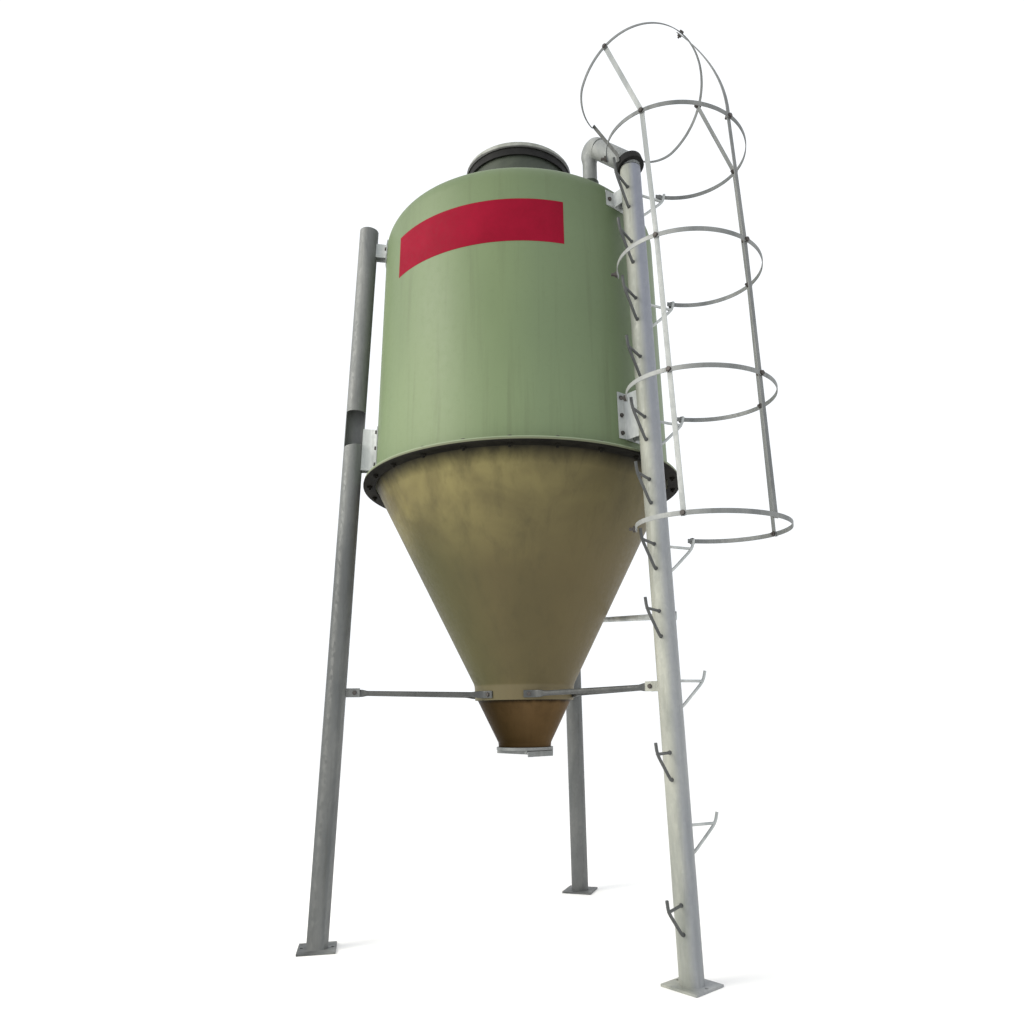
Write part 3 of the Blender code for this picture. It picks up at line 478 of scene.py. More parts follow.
finishes = {
    "green": gelcoatFinish(gelcoat),
    "olive": coneFinish(coneCoat),
    "brown": coneFinish(lowerCoat, "brownCone"),
    "black": mottledFinish("blackRing", (0.0055, 0.0052, 0.0042), (0.016, 0.015, 0.011), 0.75, shine=0.08),
    # one galvanised coat in brighter and darker copies, painted light and shade per piece: brighter on the bracket
    # plates, tie bar and far steps, darker on the back leg, near steps and braces
    "zinc": zincFinish(zincCoat, "zincTube", 1.0),
    "dullZinc": zincFinish(zincCoat, "zincDull", 0.62),
    "backZinc": zincFinish(zincCoat, "zincBack", 0.36),
    "ladderZinc": zincFinish(zincCoat, "zincLadder", ladderTint, ladderFlank),
    "hoopZinc": zincFinish(zincCoat, "zincHoop", 0.58, pale=(0.27, 0.50)),
    "plateZinc": zincFinish(zincCoat, "zincPlate", 1.45),
    "pipeZinc": zincFinish(zincCoat, "zincPipe", 0.72),
    "paleZinc": zincFinish(zincCoat, "zincPale", 1.65),
    "leftZinc": zincFinish(zincCoat, "zincLeft", 0.47, leftFlank),
    "farStepZinc": zincFinish(zincCoat, "zincFarStep", 1.35),
    "barZinc": zincFinish(zincCoat, "zincBar", 0.50),
    "stepZinc": zincFinish(zincCoat, "zincStep", 0.24),
    "braceZinc": zincFinish(zincCoat, "zincBrace", 0.22),
    "boltSteel": mottledFinish("boltSteel", (0.045, 0.040, 0.036), (0.11, 0.10, 0.095), 0.45, 0.5, 30.0),
    "lid": lidFinish(lidCoat),
    # the neck's gelcoat painted darker than the barrel's: painted shade under the lid's overhang
    "neck": mottledFinish("neckGelcoat", (0.036, 0.043, 0.034), (0.060, 0.070, 0.052), 0.5, 0.0, 6.0, 0.08),
    "rubber": mottledFinish("blackRubber", (0.006, 0.006, 0.006), (0.014, 0.014, 0.013), 0.75),
    "red": mottledFinish("redBand", (0.180, 0.0030, 0.015), (0.235, 0.0045, 0.021), 0.60, 0.0, 5.0, 0.05, 0.06),
}
print("finishes made")

# ---- Mesh making ----


def quadFaces(rows, cols, wrapRows=False, wrapCols=True):
    # quads between neighbouring points of a grid; a wrapped side joins its last line to its first
    index = np.arange(rows * cols).reshape(rows, cols)
    if wrapRows:
        index = np.vstack([index, index[:1]])
    if wrapCols:
        index = np.hstack([index, index[:, :1]])
    return np.stack([index[:-1, :-1], index[:-1, 1:], index[1:, 1:], index[1:, :-1]], -1).reshape(-1, 4)


def closedShape(grid, wrapRows=False):
    # a grid of points, wrapped round its columns and either round its rows or capped at both ends, faces outwards
    rows, cols = grid.shape[:2]
    points = grid.reshape(-1, 3)
    quads = quadFaces(rows, cols, wrapRows)
    a, b, c, d = (points[quads[:, i]] - points.mean(0) for i in range(4))
    volume = (np.einsum("ij,ij->i", a, np.cross(b, c)) + np.einsum("ij,ij->i", a, np.cross(c, d))).sum()
    faces = [tuple(face) for face in quads.tolist()]
    if not wrapRows:
        faces.append(tuple(range(cols - 1, -1, -1)))
        faces.append(tuple(range((rows - 1) * cols, rows * cols)))
    if volume < 0:
        faces = [face[::-1] for face in faces]
    return points, faces


def together(shapes):
    # several shapes as one list of points and faces
    starts = np.cumsum([0] + [len(points) for points, faces in shapes])
    points = np.concatenate([points for points, faces in shapes])
    faces = [tuple(i + int(start) for i in face) for start, (p, fs) in zip(starts, shapes) for face in fs]
    return points, faces


def newPiece(name, shape, finish, stands=(), body="frame", sharpAt=35.0):
    mesh = bpy.data.meshes.new(name)
    mesh.from_pydata(np.asarray(shape[0], float).tolist(), [], shape[1])
    mesh.update()
    mesh.materials.append(finishes[finish])
    mesh.polygons.foreach_set("use_smooth", [True] * len(mesh.polygons))
    mesh.set_sharp_from_angle(angle=math.radians(sharpAt))
    piece = bpy.data.objects.new(name, mesh)
    bpy.context.scene.collection.objects.link(piece)
    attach(piece, body)
    if stands:
        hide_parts(*stands)
    return piece


def dressed(node, finish, sharpAt=32.0):
    # a copy of the CAD node with its loose triangles merged, so that round walls shade smoothly
    mesh = nodes[node].data.copy()
    name = node + "Skin"
    mesh.name = name
    mesh.materials.clear()
    mesh.materials.append(finishes[finish])
    shape = bmesh.new()
    shape.from_mesh(mesh)
    bmesh.ops.remove_doubles(shape, verts=shape.verts, dist=0.00002)
    bmesh.ops.dissolve_limit(shape, angle_limit=math.radians(0.3), verts=shape.verts, edges=shape.edges)
    shape.to_mesh(mesh)
    shape.free()
    mesh.polygons.foreach_set("use_smooth", [True] * len(mesh.polygons))
    mesh.set_sharp_from_angle(angle=math.radians(sharpAt))
    piece = bpy.data.objects.new(name, mesh)
    bpy.context.scene.collection.objects.link(piece)
    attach(piece, bodyOf[node])
    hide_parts(node)
    return piece


def eased(corners, ease, steps=4):
    # each corner of a closed outline becomes a curve: (1-t)^2 of the point before, 2t(1-t) of the corner, t^2 of the one after
    corners = np.asarray(corners, float)
    before, after = np.roll(corners, 1, 0) - corners, np.roll(corners, -1, 0) - corners
    reachBefore = np.minimum(ease / np.linalg.norm(before, axis=1), 0.45)[:, None]
    reachAfter = np.minimum(ease / np.linalg.norm(after, axis=1), 0.45)[:, None]
    t = np.linspace(0, 1, steps + 1)[None, :, None]
    start, end = (corners + before * reachBefore)[:, None], (corners + after * reachAfter)[:, None]
    return (start * (1 - t) ** 2 + corners[:, None] * 2 * t * (1 - t) + end * t**2).reshape(-1, 2)


def spaced(outline, step):
    # long sides of a closed outline are cut so that no side is longer than step
    following = np.roll(outline, -1, 0)
    counts = np.maximum(1, np.ceil(np.linalg.norm(following - outline, axis=1) / step)).astype(int)
    return np.concatenate([a + (b - a) * np.arange(n)[:, None] / n for a, b, n in zip(outline, following, counts)])


def turnedShape(outline, count=160, ripple=0.0, first=0.0):
    # a closed outline of radius and height carried round the silo's axis; ripple draws the wall in by
    # up to that depth, along a sum of slow waves of azimuth and height
    azimuth = first + np.arange(count) * 360.0 / count
    reach, z = outline[:, :1], outline[:, 1:]
    turn = np.radians(azimuth)[None, :]
    wave = np.sin(3 * turn + 1.7 * z) + np.sin(5 * turn - 2.3 * z + 1.0) + np.sin(11 * turn + 0.8) * 0.5
    grid = polar(reach - ripple * (wave + 2.5) / 5.0, azimuth[None, :], z)
    return closedShape(grid, wrapRows=True)


def carried(path, sections, up):
    # a closed section carried along a path: point + side * across + top * upwards, side = along x up
    path = np.asarray(path, float)
    sections = np.broadcast_to(sections, (len(path),) + np.shape(sections)[-2:])
    along = np.gradient(path, axis=0)
    along /= np.linalg.norm(along, axis=1)[:, None]
    side = np.cross(along, np.broadcast_to(up, path.shape))
    side /= np.linalg.norm(side, axis=1)[:, None]
    top = np.cross(side, along)
    return closedShape(path[:, None] + side[:, None] * sections[..., :1] + top[:, None] * sections[..., 1:])


def ovalSection(halfWide, halfHigh, count=20):
    turn = np.arange(count) * math.tau / count
    return np.stack([halfWide * np.cos(turn), halfHigh * np.sin(turn)], -1)


def barSection(wide, high, ease=0.0012):
    half = np.array([[-wide, -high], [wide, -high], [wide, high], [-wide, high]]) / 2
    return eased(half, ease, 3)


def bent(corners, radius, steps=8):
    # a path through corners whose inner ones are curves: (1-t)^2, 2t(1-t), t^2 of the points round each
    corners = np.asarray(corners, float)
    path = [corners[:1]]
    t = np.linspace(0, 1, steps + 1)[:, None]
    for before, corner, after in zip(corners, corners[1:], corners[2:]):
        start = corner + (before - corner) * min(0.45, radius / np.linalg.norm(before - corner))
        end = corner + (after - corner) * min(0.45, radius / np.linalg.norm(after - corner))
        path.append(start * (1 - t) ** 2 + corner * 2 * t * (1 - t) + end * t**2)
    path.append(corners[-1:])
    return np.concatenate(path)


def frames(axes):
    # for each axis two directions square to it
    axes = np.asarray(axes, float)
    axes = axes / np.linalg.norm(axes, axis=1)[:, None]
    helper = np.where(np.abs(axes[:, 2:]) > 0.9, [[1.0, 0.0, 0.0]], [[0.0, 0.0, 1.0]])
    side = np.cross(helper, axes)
    side /= np.linalg.norm(side, axis=1)[:, None]
    return side, np.cross(axes, side), axes


def hexBolt(size, tail=0.0):
    # rings of radius and height from the seat up: washer, six-sided head with a turned-down rim;
    # with a tail, a nut of the same section and the thread's end stand below the seat instead
    turn = np.arange(12) * math.tau / 12
    flat = 0.90 * size / np.cos((turn + math.pi / 6) % (math.pi / 3) - math.pi / 6)
    round_ = np.full(12, 1.0)
    rings = [
        (round_ * size * 1.15, 0.0),
        (round_ * size * 1.15, 0.16 * size),
        (flat, 0.165 * size),
        (flat, 0.74 * size),
        (np.minimum(flat, 0.90 * size) * 0.97, 0.82 * size),
    ]
    if tail:
        rings += [(round_ * size * 0.5, 0.825 * size), (round_ * size * 0.5, 0.83 * size + tail)]
        rings += [(round_ * size * 0.42, 0.86 * size + tail)]
    grid = np.stack([np.stack([r * np.cos(turn), r * np.sin(turn), np.full(12, z)], -1) for r, z in rings])
    return closedShape(grid)


def scattered(shape, spots, axes):
    # the same small shape set at each spot with its own z along each axis
    side, top, up = frames(axes)
    local, faces = shape
    spots = np.asarray(spots, float)
    points = spots[:, None] + local[None, :, :1] * side[:, None] + local[None, :, 1:2] * top[:, None] + local[None, :, 2:] * up[:, None]
    starts = np.arange(len(spots)) * len(local)
    return points.reshape(-1, 3), [tuple(i + int(start) for i in face) for start in starts for face in faces]


def weldBead(path, radius, up, pitch=0.006):
    # a thin rope along a closed or open path, its radius swelling with each drop
    path = np.asarray(path, float)
    length = np.concatenate([[0], np.cumsum(np.linalg.norm(np.diff(path, axis=0), axis=1))])
    swell = 1 + 0.16 * np.sin(length * math.tau / pitch)
    return carried(path, ovalSection(radius, radius, 8)[None] * swell[:, None, None], up)


print("mesh tools ready")

# ---- Barrel, roof and neck ----

barrel = {
    "foot": 2.2821,
    "flangeHigh": 2.2901,
    "datum": 2.2735,
    "radius": 0.789,
    "taper": 0.0270,
    "wall": 0.006,
    "shoulder": 3.627,
    "shoulderRadius": 0.105,
    "shoulderArc": 65.0,
    "flangeRadius": 0.845,
    "ripple": 0.0005,
}


def barrelRadius(z):
    # straight taper up to the shoulder, then a circle of the shoulder's radius
    plan = barrel
    straight = plan["radius"] - plan["taper"] * (z - plan["datum"])
    middle = plan["radius"] - plan["taper"] * (plan["shoulder"] - plan["datum"]) - plan["shoulderRadius"]
    over = np.maximum(np.asarray(z, float) - plan["shoulder"], 0.0)
    return np.where(over > 0, middle + np.sqrt(plan["shoulderRadius"] ** 2 - over**2), straight)


def shoulderArc(radius, first, last, count=18):
    # radius and height on the shoulder's circle, degrees counted up from level
    turn = np.radians(np.linspace(first, last, count))
    middle = float(barrelRadius(barrel["shoulder"])) - barrel["shoulderRadius"]
    return np.stack([middle + radius * np.cos(turn), barrel["shoulder"] + radius * np.sin(turn)], -1)


def buildBarrel(plan):
    outer = shoulderArc(plan["shoulderRadius"], plan["shoulderArc"], 0.0)
    inner = shoulderArc(plan["shoulderRadius"] - plan["wall"], 0.0, plan["shoulderArc"])
    foot = eased(
        [
            (float(barrelRadius(plan["flangeHigh"])), plan["flangeHigh"] + 0.03),
            (float(barrelRadius(plan["flangeHigh"])), plan["flangeHigh"]),
            (plan["flangeRadius"], plan["flangeHigh"]),
            (plan["flangeRadius"], plan["foot"]),
            (float(barrelRadius(plan["foot"])) - plan["wall"], plan["foot"]),
            (float(barrelRadius(plan["foot"])) - plan["wall"], plan["foot"] + 0.03),
        ],
        0.003,
    )
    outline = spaced(np.concatenate([outer, foot[5:25], inner]), 0.03)
    newPiece("barrelSkin", turnedShape(outline, 192, plan["ripple"]), "green", ["cylinder_shell"])


buildBarrel(barrel)

roof = {"holeGap": 0.0003, "neckRadius": 0.284, "neckTop": 4.142, "neckWall": 0.005, "neckDrop": 0.030, "flare": 0.016}


def roofHeight(radius):
    # straight cone that leaves the shoulder at the end of its arc
    edge = shoulderArc(barrel["shoulderRadius"], barrel["shoulderArc"], 0.0)[0]
    return edge[1] + (edge[0] - radius) * math.tan(math.radians(90.0 - barrel["shoulderArc"]))


def buildRoof(plan):
    edge = shoulderArc(barrel["shoulderRadius"] - barrel["wall"], 0.0, barrel["shoulderArc"])[-1, 0] - 0.0003
    hole = plan["neckRadius"] + plan["holeGap"]
    drop = barrel["wall"] / math.cos(math.radians(90.0 - barrel["shoulderArc"]))
    corners = [(hole, roofHeight(hole)), (edge, roofHeight(edge)), (edge, roofHeight(edge) - drop), (hole, roofHeight(hole) - drop)]
    newPiece("roofSkin", turnedShape(spaced(eased(corners, 0.0008, 2), 0.03), 160), "green", ["roof"])
    # the neck's foot spreads into the roof over a laminated fillet
    low = roofHeight(plan["neckRadius"])
    neck = [
        (plan["neckRadius"], plan["neckTop"]),
        (plan["neckRadius"], low + 0.030),
        (plan["neckRadius"] + 0.004, low + 0.010),
        (plan["neckRadius"] + plan["flare"], roofHeight(plan["neckRadius"] + plan["flare"]) + 0.0008),
        (plan["neckRadius"] + 0.001, low + 0.0005),
        (plan["neckRadius"] - 0.0001, low - plan["neckDrop"]),
        (plan["neckRadius"] - plan["neckWall"], low - plan["neckDrop"]),
        (plan["neckRadius"] - plan["neckWall"], plan["neckTop"]),
    ]
    newPiece("neckSkin", turnedShape(spaced(eased(neck, 0.0025, 3), 0.03), 128), "neck", ["neck"])


buildRoof(roof)

# ---- Cones and the black ring ----

cone = {
    "flangeRadius": 0.847,
    "flangeLow": 2.2738,
    "flangeHigh": 2.2818,
    "radius": 0.7826,
    "skirtTop": (0.259, 1.228),
    "skirtFoot": (0.2555, 1.150),
    "wall": 0.006,
}


def buildCone(plan):
    wall = plan["wall"]
    flange = eased([(plan["flangeRadius"], plan["flangeHigh"]), (plan["flangeRadius"], plan["flangeLow"]), (plan["radius"], plan["flangeLow"])], 0.002)
    skirt = eased([(plan["radius"], plan["flangeLow"]), plan["skirtTop"], plan["skirtFoot"]], 0.014, 6)[7:14]
    foot = eased(
        [
            plan["skirtTop"],
            plan["skirtFoot"],
            (plan["skirtFoot"][0] - wall, plan["skirtFoot"][1]),
            (plan["skirtTop"][0] - wall, plan["skirtTop"][1]),
        ],
        0.002,
    )[5:15]
    inner = [(plan["skirtTop"][0] - wall, plan["skirtTop"][1] + 0.002), (plan["radius"] - wall, plan["flangeHigh"])]
    outline = spaced(np.concatenate([flange[:-5], [(plan["radius"], plan["flangeLow"])], skirt, foot, inner]), 0.03)
    newPiece("coneSkin", turnedShape(outline, 192, 0.0), "olive", ["hopper_upper"])


buildCone(cone)

lowerCone = {
    "nest": (0.2486, 1.208),
    "nestFoot": (0.2486, 1.154),
    "top": (0.240, 1.146),
    "spout": (0.1365, 0.937),
    "spoutFoot": (0.1345, 0.9145),
    "wall": 0.006,
}


def buildLowerCone(plan):
    wall = plan["wall"]
    outer = [plan["nest"], plan["nestFoot"], plan["top"], plan["spout"], plan["spoutFoot"]]
    inner = [(r - wall, z + lift) for (r, z), lift in zip(outer[::-1], (0, 0.001, 0.003, 0.004, 0))]
    newPiece("lowerConeSkin", turnedShape(spaced(eased(outer + inner, 0.003, 3), 0.02), 128), "brown", ["hopper_lower"])


buildLowerCone(lowerCone)

ring = {"outer": 0.8490, "inner": 0.7846, "top": 2.2735, "plate": 0.008, "bolts": 24, "boltRadius": 0.815, "firstBolt": 0.5, "boltSize": 0.0125}


def buildRing(plan):
    corners = [
        (plan["outer"], plan["top"]),
        (plan["outer"], plan["top"] - plan["plate"]),
        (plan["inner"], plan["top"] - plan["plate"]),
        (plan["inner"], plan["top"]),
    ]
    newPiece("ringSkin", turnedShape(eased(corners, 0.0015, 3), 192), "black", ["flange_ring"])
    azimuths = plan["firstBolt"] + np.arange(plan["bolts"]) * 360.0 / plan["bolts"]
    heads = polar(plan["boltRadius"], azimuths, barrel["flangeHigh"] + 0.0001)
    nuts = polar(plan["boltRadius"], azimuths, plan["top"] - plan["plate"] - 0.0001)
    up = np.tile([0.0, 0.0, 1.0], (len(azimuths), 1))
    newPiece("ringBolts", scattered(hexBolt(plan["boltSize"]), heads, up), "boltSteel")
    newPiece("ringNuts", scattered(hexBolt(plan["boltSize"], 0.008), nuts, -up), "black")


buildRing(ring)
print("barrel, cones and ring made")

# ---- Red band on the barrel, plain ----

band = {"left": -95.0, "right": -24.5, "low": 3.285, "high": 3.510, "thick": 0.0006}


def buildBand(plan):
    # a thin curved sheet: azimuth and height as the two parameters, one skin out by its thickness
    azimuth = np.linspace(plan["left"], plan["right"], 72)
    z = np.linspace(plan["low"], plan["high"], 9)
    outer = polar(barrelRadius(z)[:, None] + plan["thick"], azimuth[None, :], z[:, None])
    inner = polar(barrelRadius(z)[:, None] - 0.0004, azimuth[None, :], z[:, None])
    # rows run up the outer skin and down the inner one, so that each column is a closed loop
    loop = np.concatenate([outer, inner[::-1]]).transpose(1, 0, 2)
    newPiece("redBandSheet", closedShape(loop), "red")


buildBand(band)

# ---- Lid, seal and hinge, outlet and gate, legs and brackets ----

for node, finish in {
    "lid": "lid",
    "lid_seal": "rubber",
    "lid_hinge": "zinc",
    "outlet_ring": "dullZinc",
    "slide_gate": "dullZinc",
    "leg_ladder": "ladderZinc",
    "leg_left": "leftZinc",
    "leg_back": "backZinc",
    "tie_bar": "paleZinc",
    "pipe_coupling": "rubber",
    "roof_inlet": "neck",
    "hoop_arm_near": "stepZinc",
    "hoop_arm_far": "stepZinc",
}.items():
    dressed(node, finish)
for level in ("upper", "lower"):
    for label in legAzimuths:
        dressed(f"{level}_bracket_{label}", "plateZinc")

bracketBolts = {"out": 0.057, "upper": (3.607,), "lower": (2.372, 2.460, 2.548), "plate": 0.006, "size": 0.0095}


def buildBracketBolts(plan):
    spots, axes = [], []
    for azimuth in legAzimuths.values():
        for z in plan["upper"] + plan["lower"]:
            reach = float(barrelRadius(z)) + plan["plate"] + 0.0004
            rise = math.degrees(math.asin(max(0.0, z - barrel["shoulder"]) / barrel["shoulderRadius"]))
            for side in (-1, 1):
                turn = azimuth + side * math.degrees(plan["out"] / reach)
                spots.append(polar(reach, turn, z))
                axes.append(heading(turn, rise))
    newPiece("bracketBolts", scattered(hexBolt(plan["size"]), spots, axes), "boltSteel")


buildBracketBolts(bracketBolts)
print("legs and brackets dressed")

# ---- Braces ----

brace = {
    "legZ": 1.195,
    "skirtZ": 1.178,
    "spread": 36.0,
    "radius": 0.0125,
    "tabHigh": 0.018,
    "tabThick": 0.003,
    "boltSize": 0.0095,
    "lugBolt": 0.094,
}
gap = 0.0003


def braceLine(azimuth, side):
    plan = brace
    lug = azimuth + side * plan["spread"]
    top, foot = cone["skirtTop"], cone["skirtFoot"]
    share = (plan["skirtZ"] - foot[1]) / (top[1] - foot[1])
    skirt = foot[0] + (top[0] - foot[0]) * share
    middle = polar(skirt + gap * 4 + plan["tabThick"], lug, plan["skirtZ"])
    tangent = heading(lug + side * 90.0)
    start = legPoint(azimuth, plan["legZ"])
    bend, end = middle - tangent * 0.030, middle + tangent * 0.026
    level = (bend - start) * (1, 1, 0)
    return start, bend, end, middle, level / np.linalg.norm(level), heading(lug)


def braceShape(azimuth, side):
    # stations along the brace: half sizes go from flat tab to round rod and back over an eased share of the way
    plan = brace
    start, bend, end, middle, level, outward = braceLine(azimuth, side)
    beside = np.cross(level, [0, 0, 1]) * (0.003 + gap + plan["tabThick"]) * -side
    line = bend - start
    length = np.linalg.norm(line)
    stops = np.concatenate([np.linspace(0.066, 0.122, 5), np.linspace(0.126, 0.160, 8), np.linspace(0.18, length - 0.075, 12)])
    share = np.linspace(0, 1, 8)
    straight = start + beside + line * (stops / length)[:, None]
    nearEnd = np.linspace(length - 0.070, length - 0.020, 8)
    closing = start + beside * (1 - 0.6 * share[:, None]) + line * (nearEnd / length)[:, None]
    tab = bent([closing[-1], bend, end], 0.012, 5)[1:]
    path = np.concatenate([straight, closing, tab])
    ease = lambda t: t * t * (3 - 2 * t)
    roundness = np.concatenate([np.zeros(5), ease(np.linspace(0, 1, 8)), np.ones(12), 1 - ease(share), np.zeros(len(tab))])
    wide = plan["tabThick"] + (plan["radius"] - plan["tabThick"]) * roundness
    high = plan["tabHigh"] + (plan["radius"] - plan["tabHigh"]) * roundness
    turn = np.arange(20) * math.tau / 20
    # flat stations square up: cos and sin are pushed towards the corners of the tab
    push = (1 - roundness)[:, None]
    across = np.cos(turn) * (1 + push * 0.9 * (np.abs(np.sin(turn)) > 0.2))
    across = np.clip(across, -1, 1)
    sections = np.stack([across * wide[:, None], np.sin(turn) * high[:, None]], -1)
    return carried(path, sections, (0, 0, 1))


def buildBraces(plan):
    spots, axes = [], []
    for label, azimuth in legAzimuths.items():
        for side, hand in ((-1, "right"), (1, "left")):
            name = f"brace_{label}_{hand}"
            newPiece(name + "Skin", braceShape(azimuth, side), "braceZinc", [name])
            start, bend, end, middle, level, outward = braceLine(azimuth, side)
            across = np.cross(level, [0, 0, 1]) * -side
            away = across * (0.003 + gap + plan["tabThick"] * 2 + 0.0002)
            spots += [middle + outward * (plan["tabThick"] + 0.0002), start + level * plan["lugBolt"] + away]
            axes += [outward, across]
            spots.append(start + level * plan["lugBolt"] - across * 0.0032)
            axes.append(-across)
    newPiece("braceBolts", scattered(hexBolt(plan["boltSize"]), spots, axes), "boltSteel")


buildBraces(brace)
print("braces made")

# ---- Steps and the cage's brackets ----

steps = {
    "first": 0.3153,
    "spacing": 0.300,
    "count": 12,
    "azimuth": 73.6,
    "reach": 0.1935,
    "drop": 0.110,
    "rise": 0.045,
    "lastRise": 0.066,
    "rod": 0.0068,
}


def stepHeight(number):
    return steps["first"] + steps["spacing"] * (number - 1)


def stepShape(z, side, rise=steps["rise"]):
    # foot on the tube, rising rod, turned-up tip; a level rod meets it, and each end on the tube has a weld
    plan = steps
    away = heading(side * plan["azimuth"])
    near = legPlan["tube"] + 0.0010
    centre = legPoint(0.0, z)
    base = centre + away * near
    foot = legPoint(0.0, z - plan["drop"]) + away * near
    elbow = centre + away * (plan["reach"] - 0.012)
    tip = centre + away * plan["reach"] + (0, 0, rise)
    across = np.cross(away, [0, 0, 1])
    rod = ovalSection(plan["rod"], plan["rod"], 16)
    corners = [foot, foot + away * 0.010, elbow, tip]
    rising = carried(bent(corners, 0.034, 7), rod, across)
    level = carried(np.linspace(base, elbow, 4), rod * 0.94, across)
    turn = np.linspace(0, math.tau, 19)[:-1]
    welds = []
    for spot in (base, foot):
        loop = spot - away * 0.0006 + (plan["rod"] * 1.05) * (np.cos(turn)[:, None] * across + np.sin(turn)[:, None] * np.array([0, 0, 1.0]))
        grid = loop[:, None] + ovalSection(0.0022, 0.0022, 6)[None, :, :1] * ((loop - spot) / plan["rod"])[:, None] + ovalSection(0.0022, 0.0022, 6)[None, :, 1:] * away
        welds.append(closedShape(grid, wrapRows=True))
    return together([rising, level] + welds)


for number in range(1, steps["count"] + 1):
    node = f"step_{number:02d}"
    side = -1 if number % 2 else 1
    newPiece(node + "Rod", stepShape(stepHeight(number), side), "stepZinc" if side < 0 else "farStepZinc", [node])
for number, hoopStep in enumerate((6, 8, 10, 12), 1):
    node = f"hoop_bracket_{number}"
    rise = steps["lastRise"] if hoopStep == 12 else steps["rise"]
    newPiece(node + "Rod", stepShape(stepHeight(hoopStep), -1, rise), "stepZinc", [node])
print("steps made")

# ---- Cage ----

# each hoop: the step it meets, middle out from the leg, rise over the step, tilts outwards and sideways
cage = {
    "hoops": (
        (6, 0.290, 0.0293, -2.5, 0.0),
        (8, 0.288, 0.0273, -2.95, -0.7),
        (10, 0.286, 0.0330, -3.2, -1.6),
        (12, 0.2695, 0.0480, -3.5, -3.1),
    ),
    "radius": 0.3240,
    "aside": -0.003,
    "curl": 0.010,
    "wide": 0.020,
    "thick": 0.004,
    "strapWide": 0.022,
    # strap a in the brighter zinc, b and c in darker copies: painted light and shade
    "strapFinish": {"a": "zinc", "b": "barZinc", "c": "dullZinc"},
    "strapAngles": {"a": (-73.8, -77.9), "b": (-4.3, -4.7), "c": (69.6, 65.8)},
    "inset": 0.0064,
    "boltSize": 0.0100,
    "endBolt": 0.0140,
}
topHoop = {
    "x": 0.9367,
    "z": 4.0697,
    "tilt": 36.3,
    "roll": -6.5,
    "radius": 0.3291,
    "end": 143.0,
    "curl": 0.0576,
    "inset": 0.0076,
    "angles": {"a": -73.8, "b": -1.1, "c": 64.7},
    "bowed": "b",
    "bowDrop": 0.497,
    "bowIn": 0.025,
}


def leaning(tilt, roll):
    # turned sideways about x, then outwards about y
    a, b = math.radians(tilt), math.radians(roll)
    about = np.array([[math.cos(a), 0, -math.sin(a)], [0, 1, 0], [math.sin(a), 0, math.cos(a)]])
    return about @ np.array([[1, 0, 0], [0, math.cos(b), -math.sin(b)], [0, math.sin(b), math.cos(b)]])


hoopCentres = [legPoint(0.0, stepHeight(step), out) + (0, cage["aside"], rise) for step, out, rise, _, _ in cage["hoops"]]
hoopLeans = [leaning(tilt, roll) for _, _, _, tilt, roll in cage["hoops"]]
hoopEnd = 4.0 + math.degrees(
    math.atan2(
        steps["reach"] * math.sin(math.radians(steps["azimuth"])),
        steps["reach"] * math.cos(math.radians(steps["azimuth"])) - cage["hoops"][0][1],
    )
)
lean = leaning(topHoop["tilt"], topHoop["roll"])
topCentre = np.array([axisX + topHoop["x"], 0.0, topHoop["z"]])


def roundPoint(centre, turned, reach, azimuth):
    # a point round a hoop's middle, in the hoop's own plane
    turn = np.radians(azimuth)
    flat = np.stack(np.broadcast_arrays(reach * np.cos(turn), reach * np.sin(turn), 0.0), -1)
    return centre + flat @ turned.T


def hoopPath(centre, turned, radius, end, curl, count=120):
    # the last 35 degrees at each end draw inwards
    azimuth = np.linspace(-end, end, count)
    drawn = np.maximum(0.0, (np.abs(azimuth) - end + 35.0) / 35.0) ** 1.45
    return roundPoint(centre, turned, radius - curl * drawn, azimuth)


def buildHoops(plan):
    section = barSection(plan["thick"], plan["wide"])
    for number, (centre, turned) in enumerate(zip(hoopCentres, hoopLeans), 1):
        path = hoopPath(centre, turned, plan["radius"], hoopEnd, plan["curl"])
        newPiece(f"hoop_{number}Bar", carried(path, section, turned[:, 2]), "hoopZinc" if number < 4 else "barZinc", [f"hoop_{number}"])
    path = hoopPath(topCentre, lean, topHoop["radius"], topHoop["end"], topHoop["curl"], 130)
    newPiece("top_hoopBar", carried(path, section, lean[:, 2]), "barZinc", ["top_hoop"])


buildHoops(cage)


def strapPath(label):
    # straight from hoop to hoop, then to the leaning hoop: straight, or bowed as (1-t)^2, 2t(1-t), t^2 of three points
    low, high = cage["strapAngles"][label]
    angles = low + (high - low) * np.arange(4) / 3
    reach = cage["radius"] - cage["inset"]
    path = np.stack([roundPoint(c, turned, reach, angle) for c, turned, angle in zip(hoopCentres, hoopLeans, angles)])
    sides = np.stack([turned @ heading(angle + 90.0) for turned, angle in zip(hoopLeans, angles)])
    below = path[0] + (path[0] - path[1]) / np.linalg.norm(path[0] - path[1]) * 0.011
    above, angle = lean[:, 2], topHoop["angles"][label]
    last = roundPoint(topCentre, lean, topHoop["radius"] - topHoop["inset"], angle)
    handle = (path[-1] + last) / 2
    if label == topHoop["bowed"]:
        handle = last - above * topHoop["bowDrop"] - lean @ heading(angle) * topHoop["bowIn"]
    t = np.linspace(0, 1, 19)[1:, None]
    rising = path[-1] * (1 - t) ** 2 + handle * 2 * t * (1 - t) + last * t**2
    topSide = lean @ heading(angle + 90.0)
    turning = sides[-1] * (1 - t) + topSide * t
    path = np.concatenate([[below], path, rising, [last + above * 0.022]])
    sides = np.concatenate([sides[:1], sides, turning, [topSide]])
    return path, sides / np.linalg.norm(sides, axis=1)[:, None]


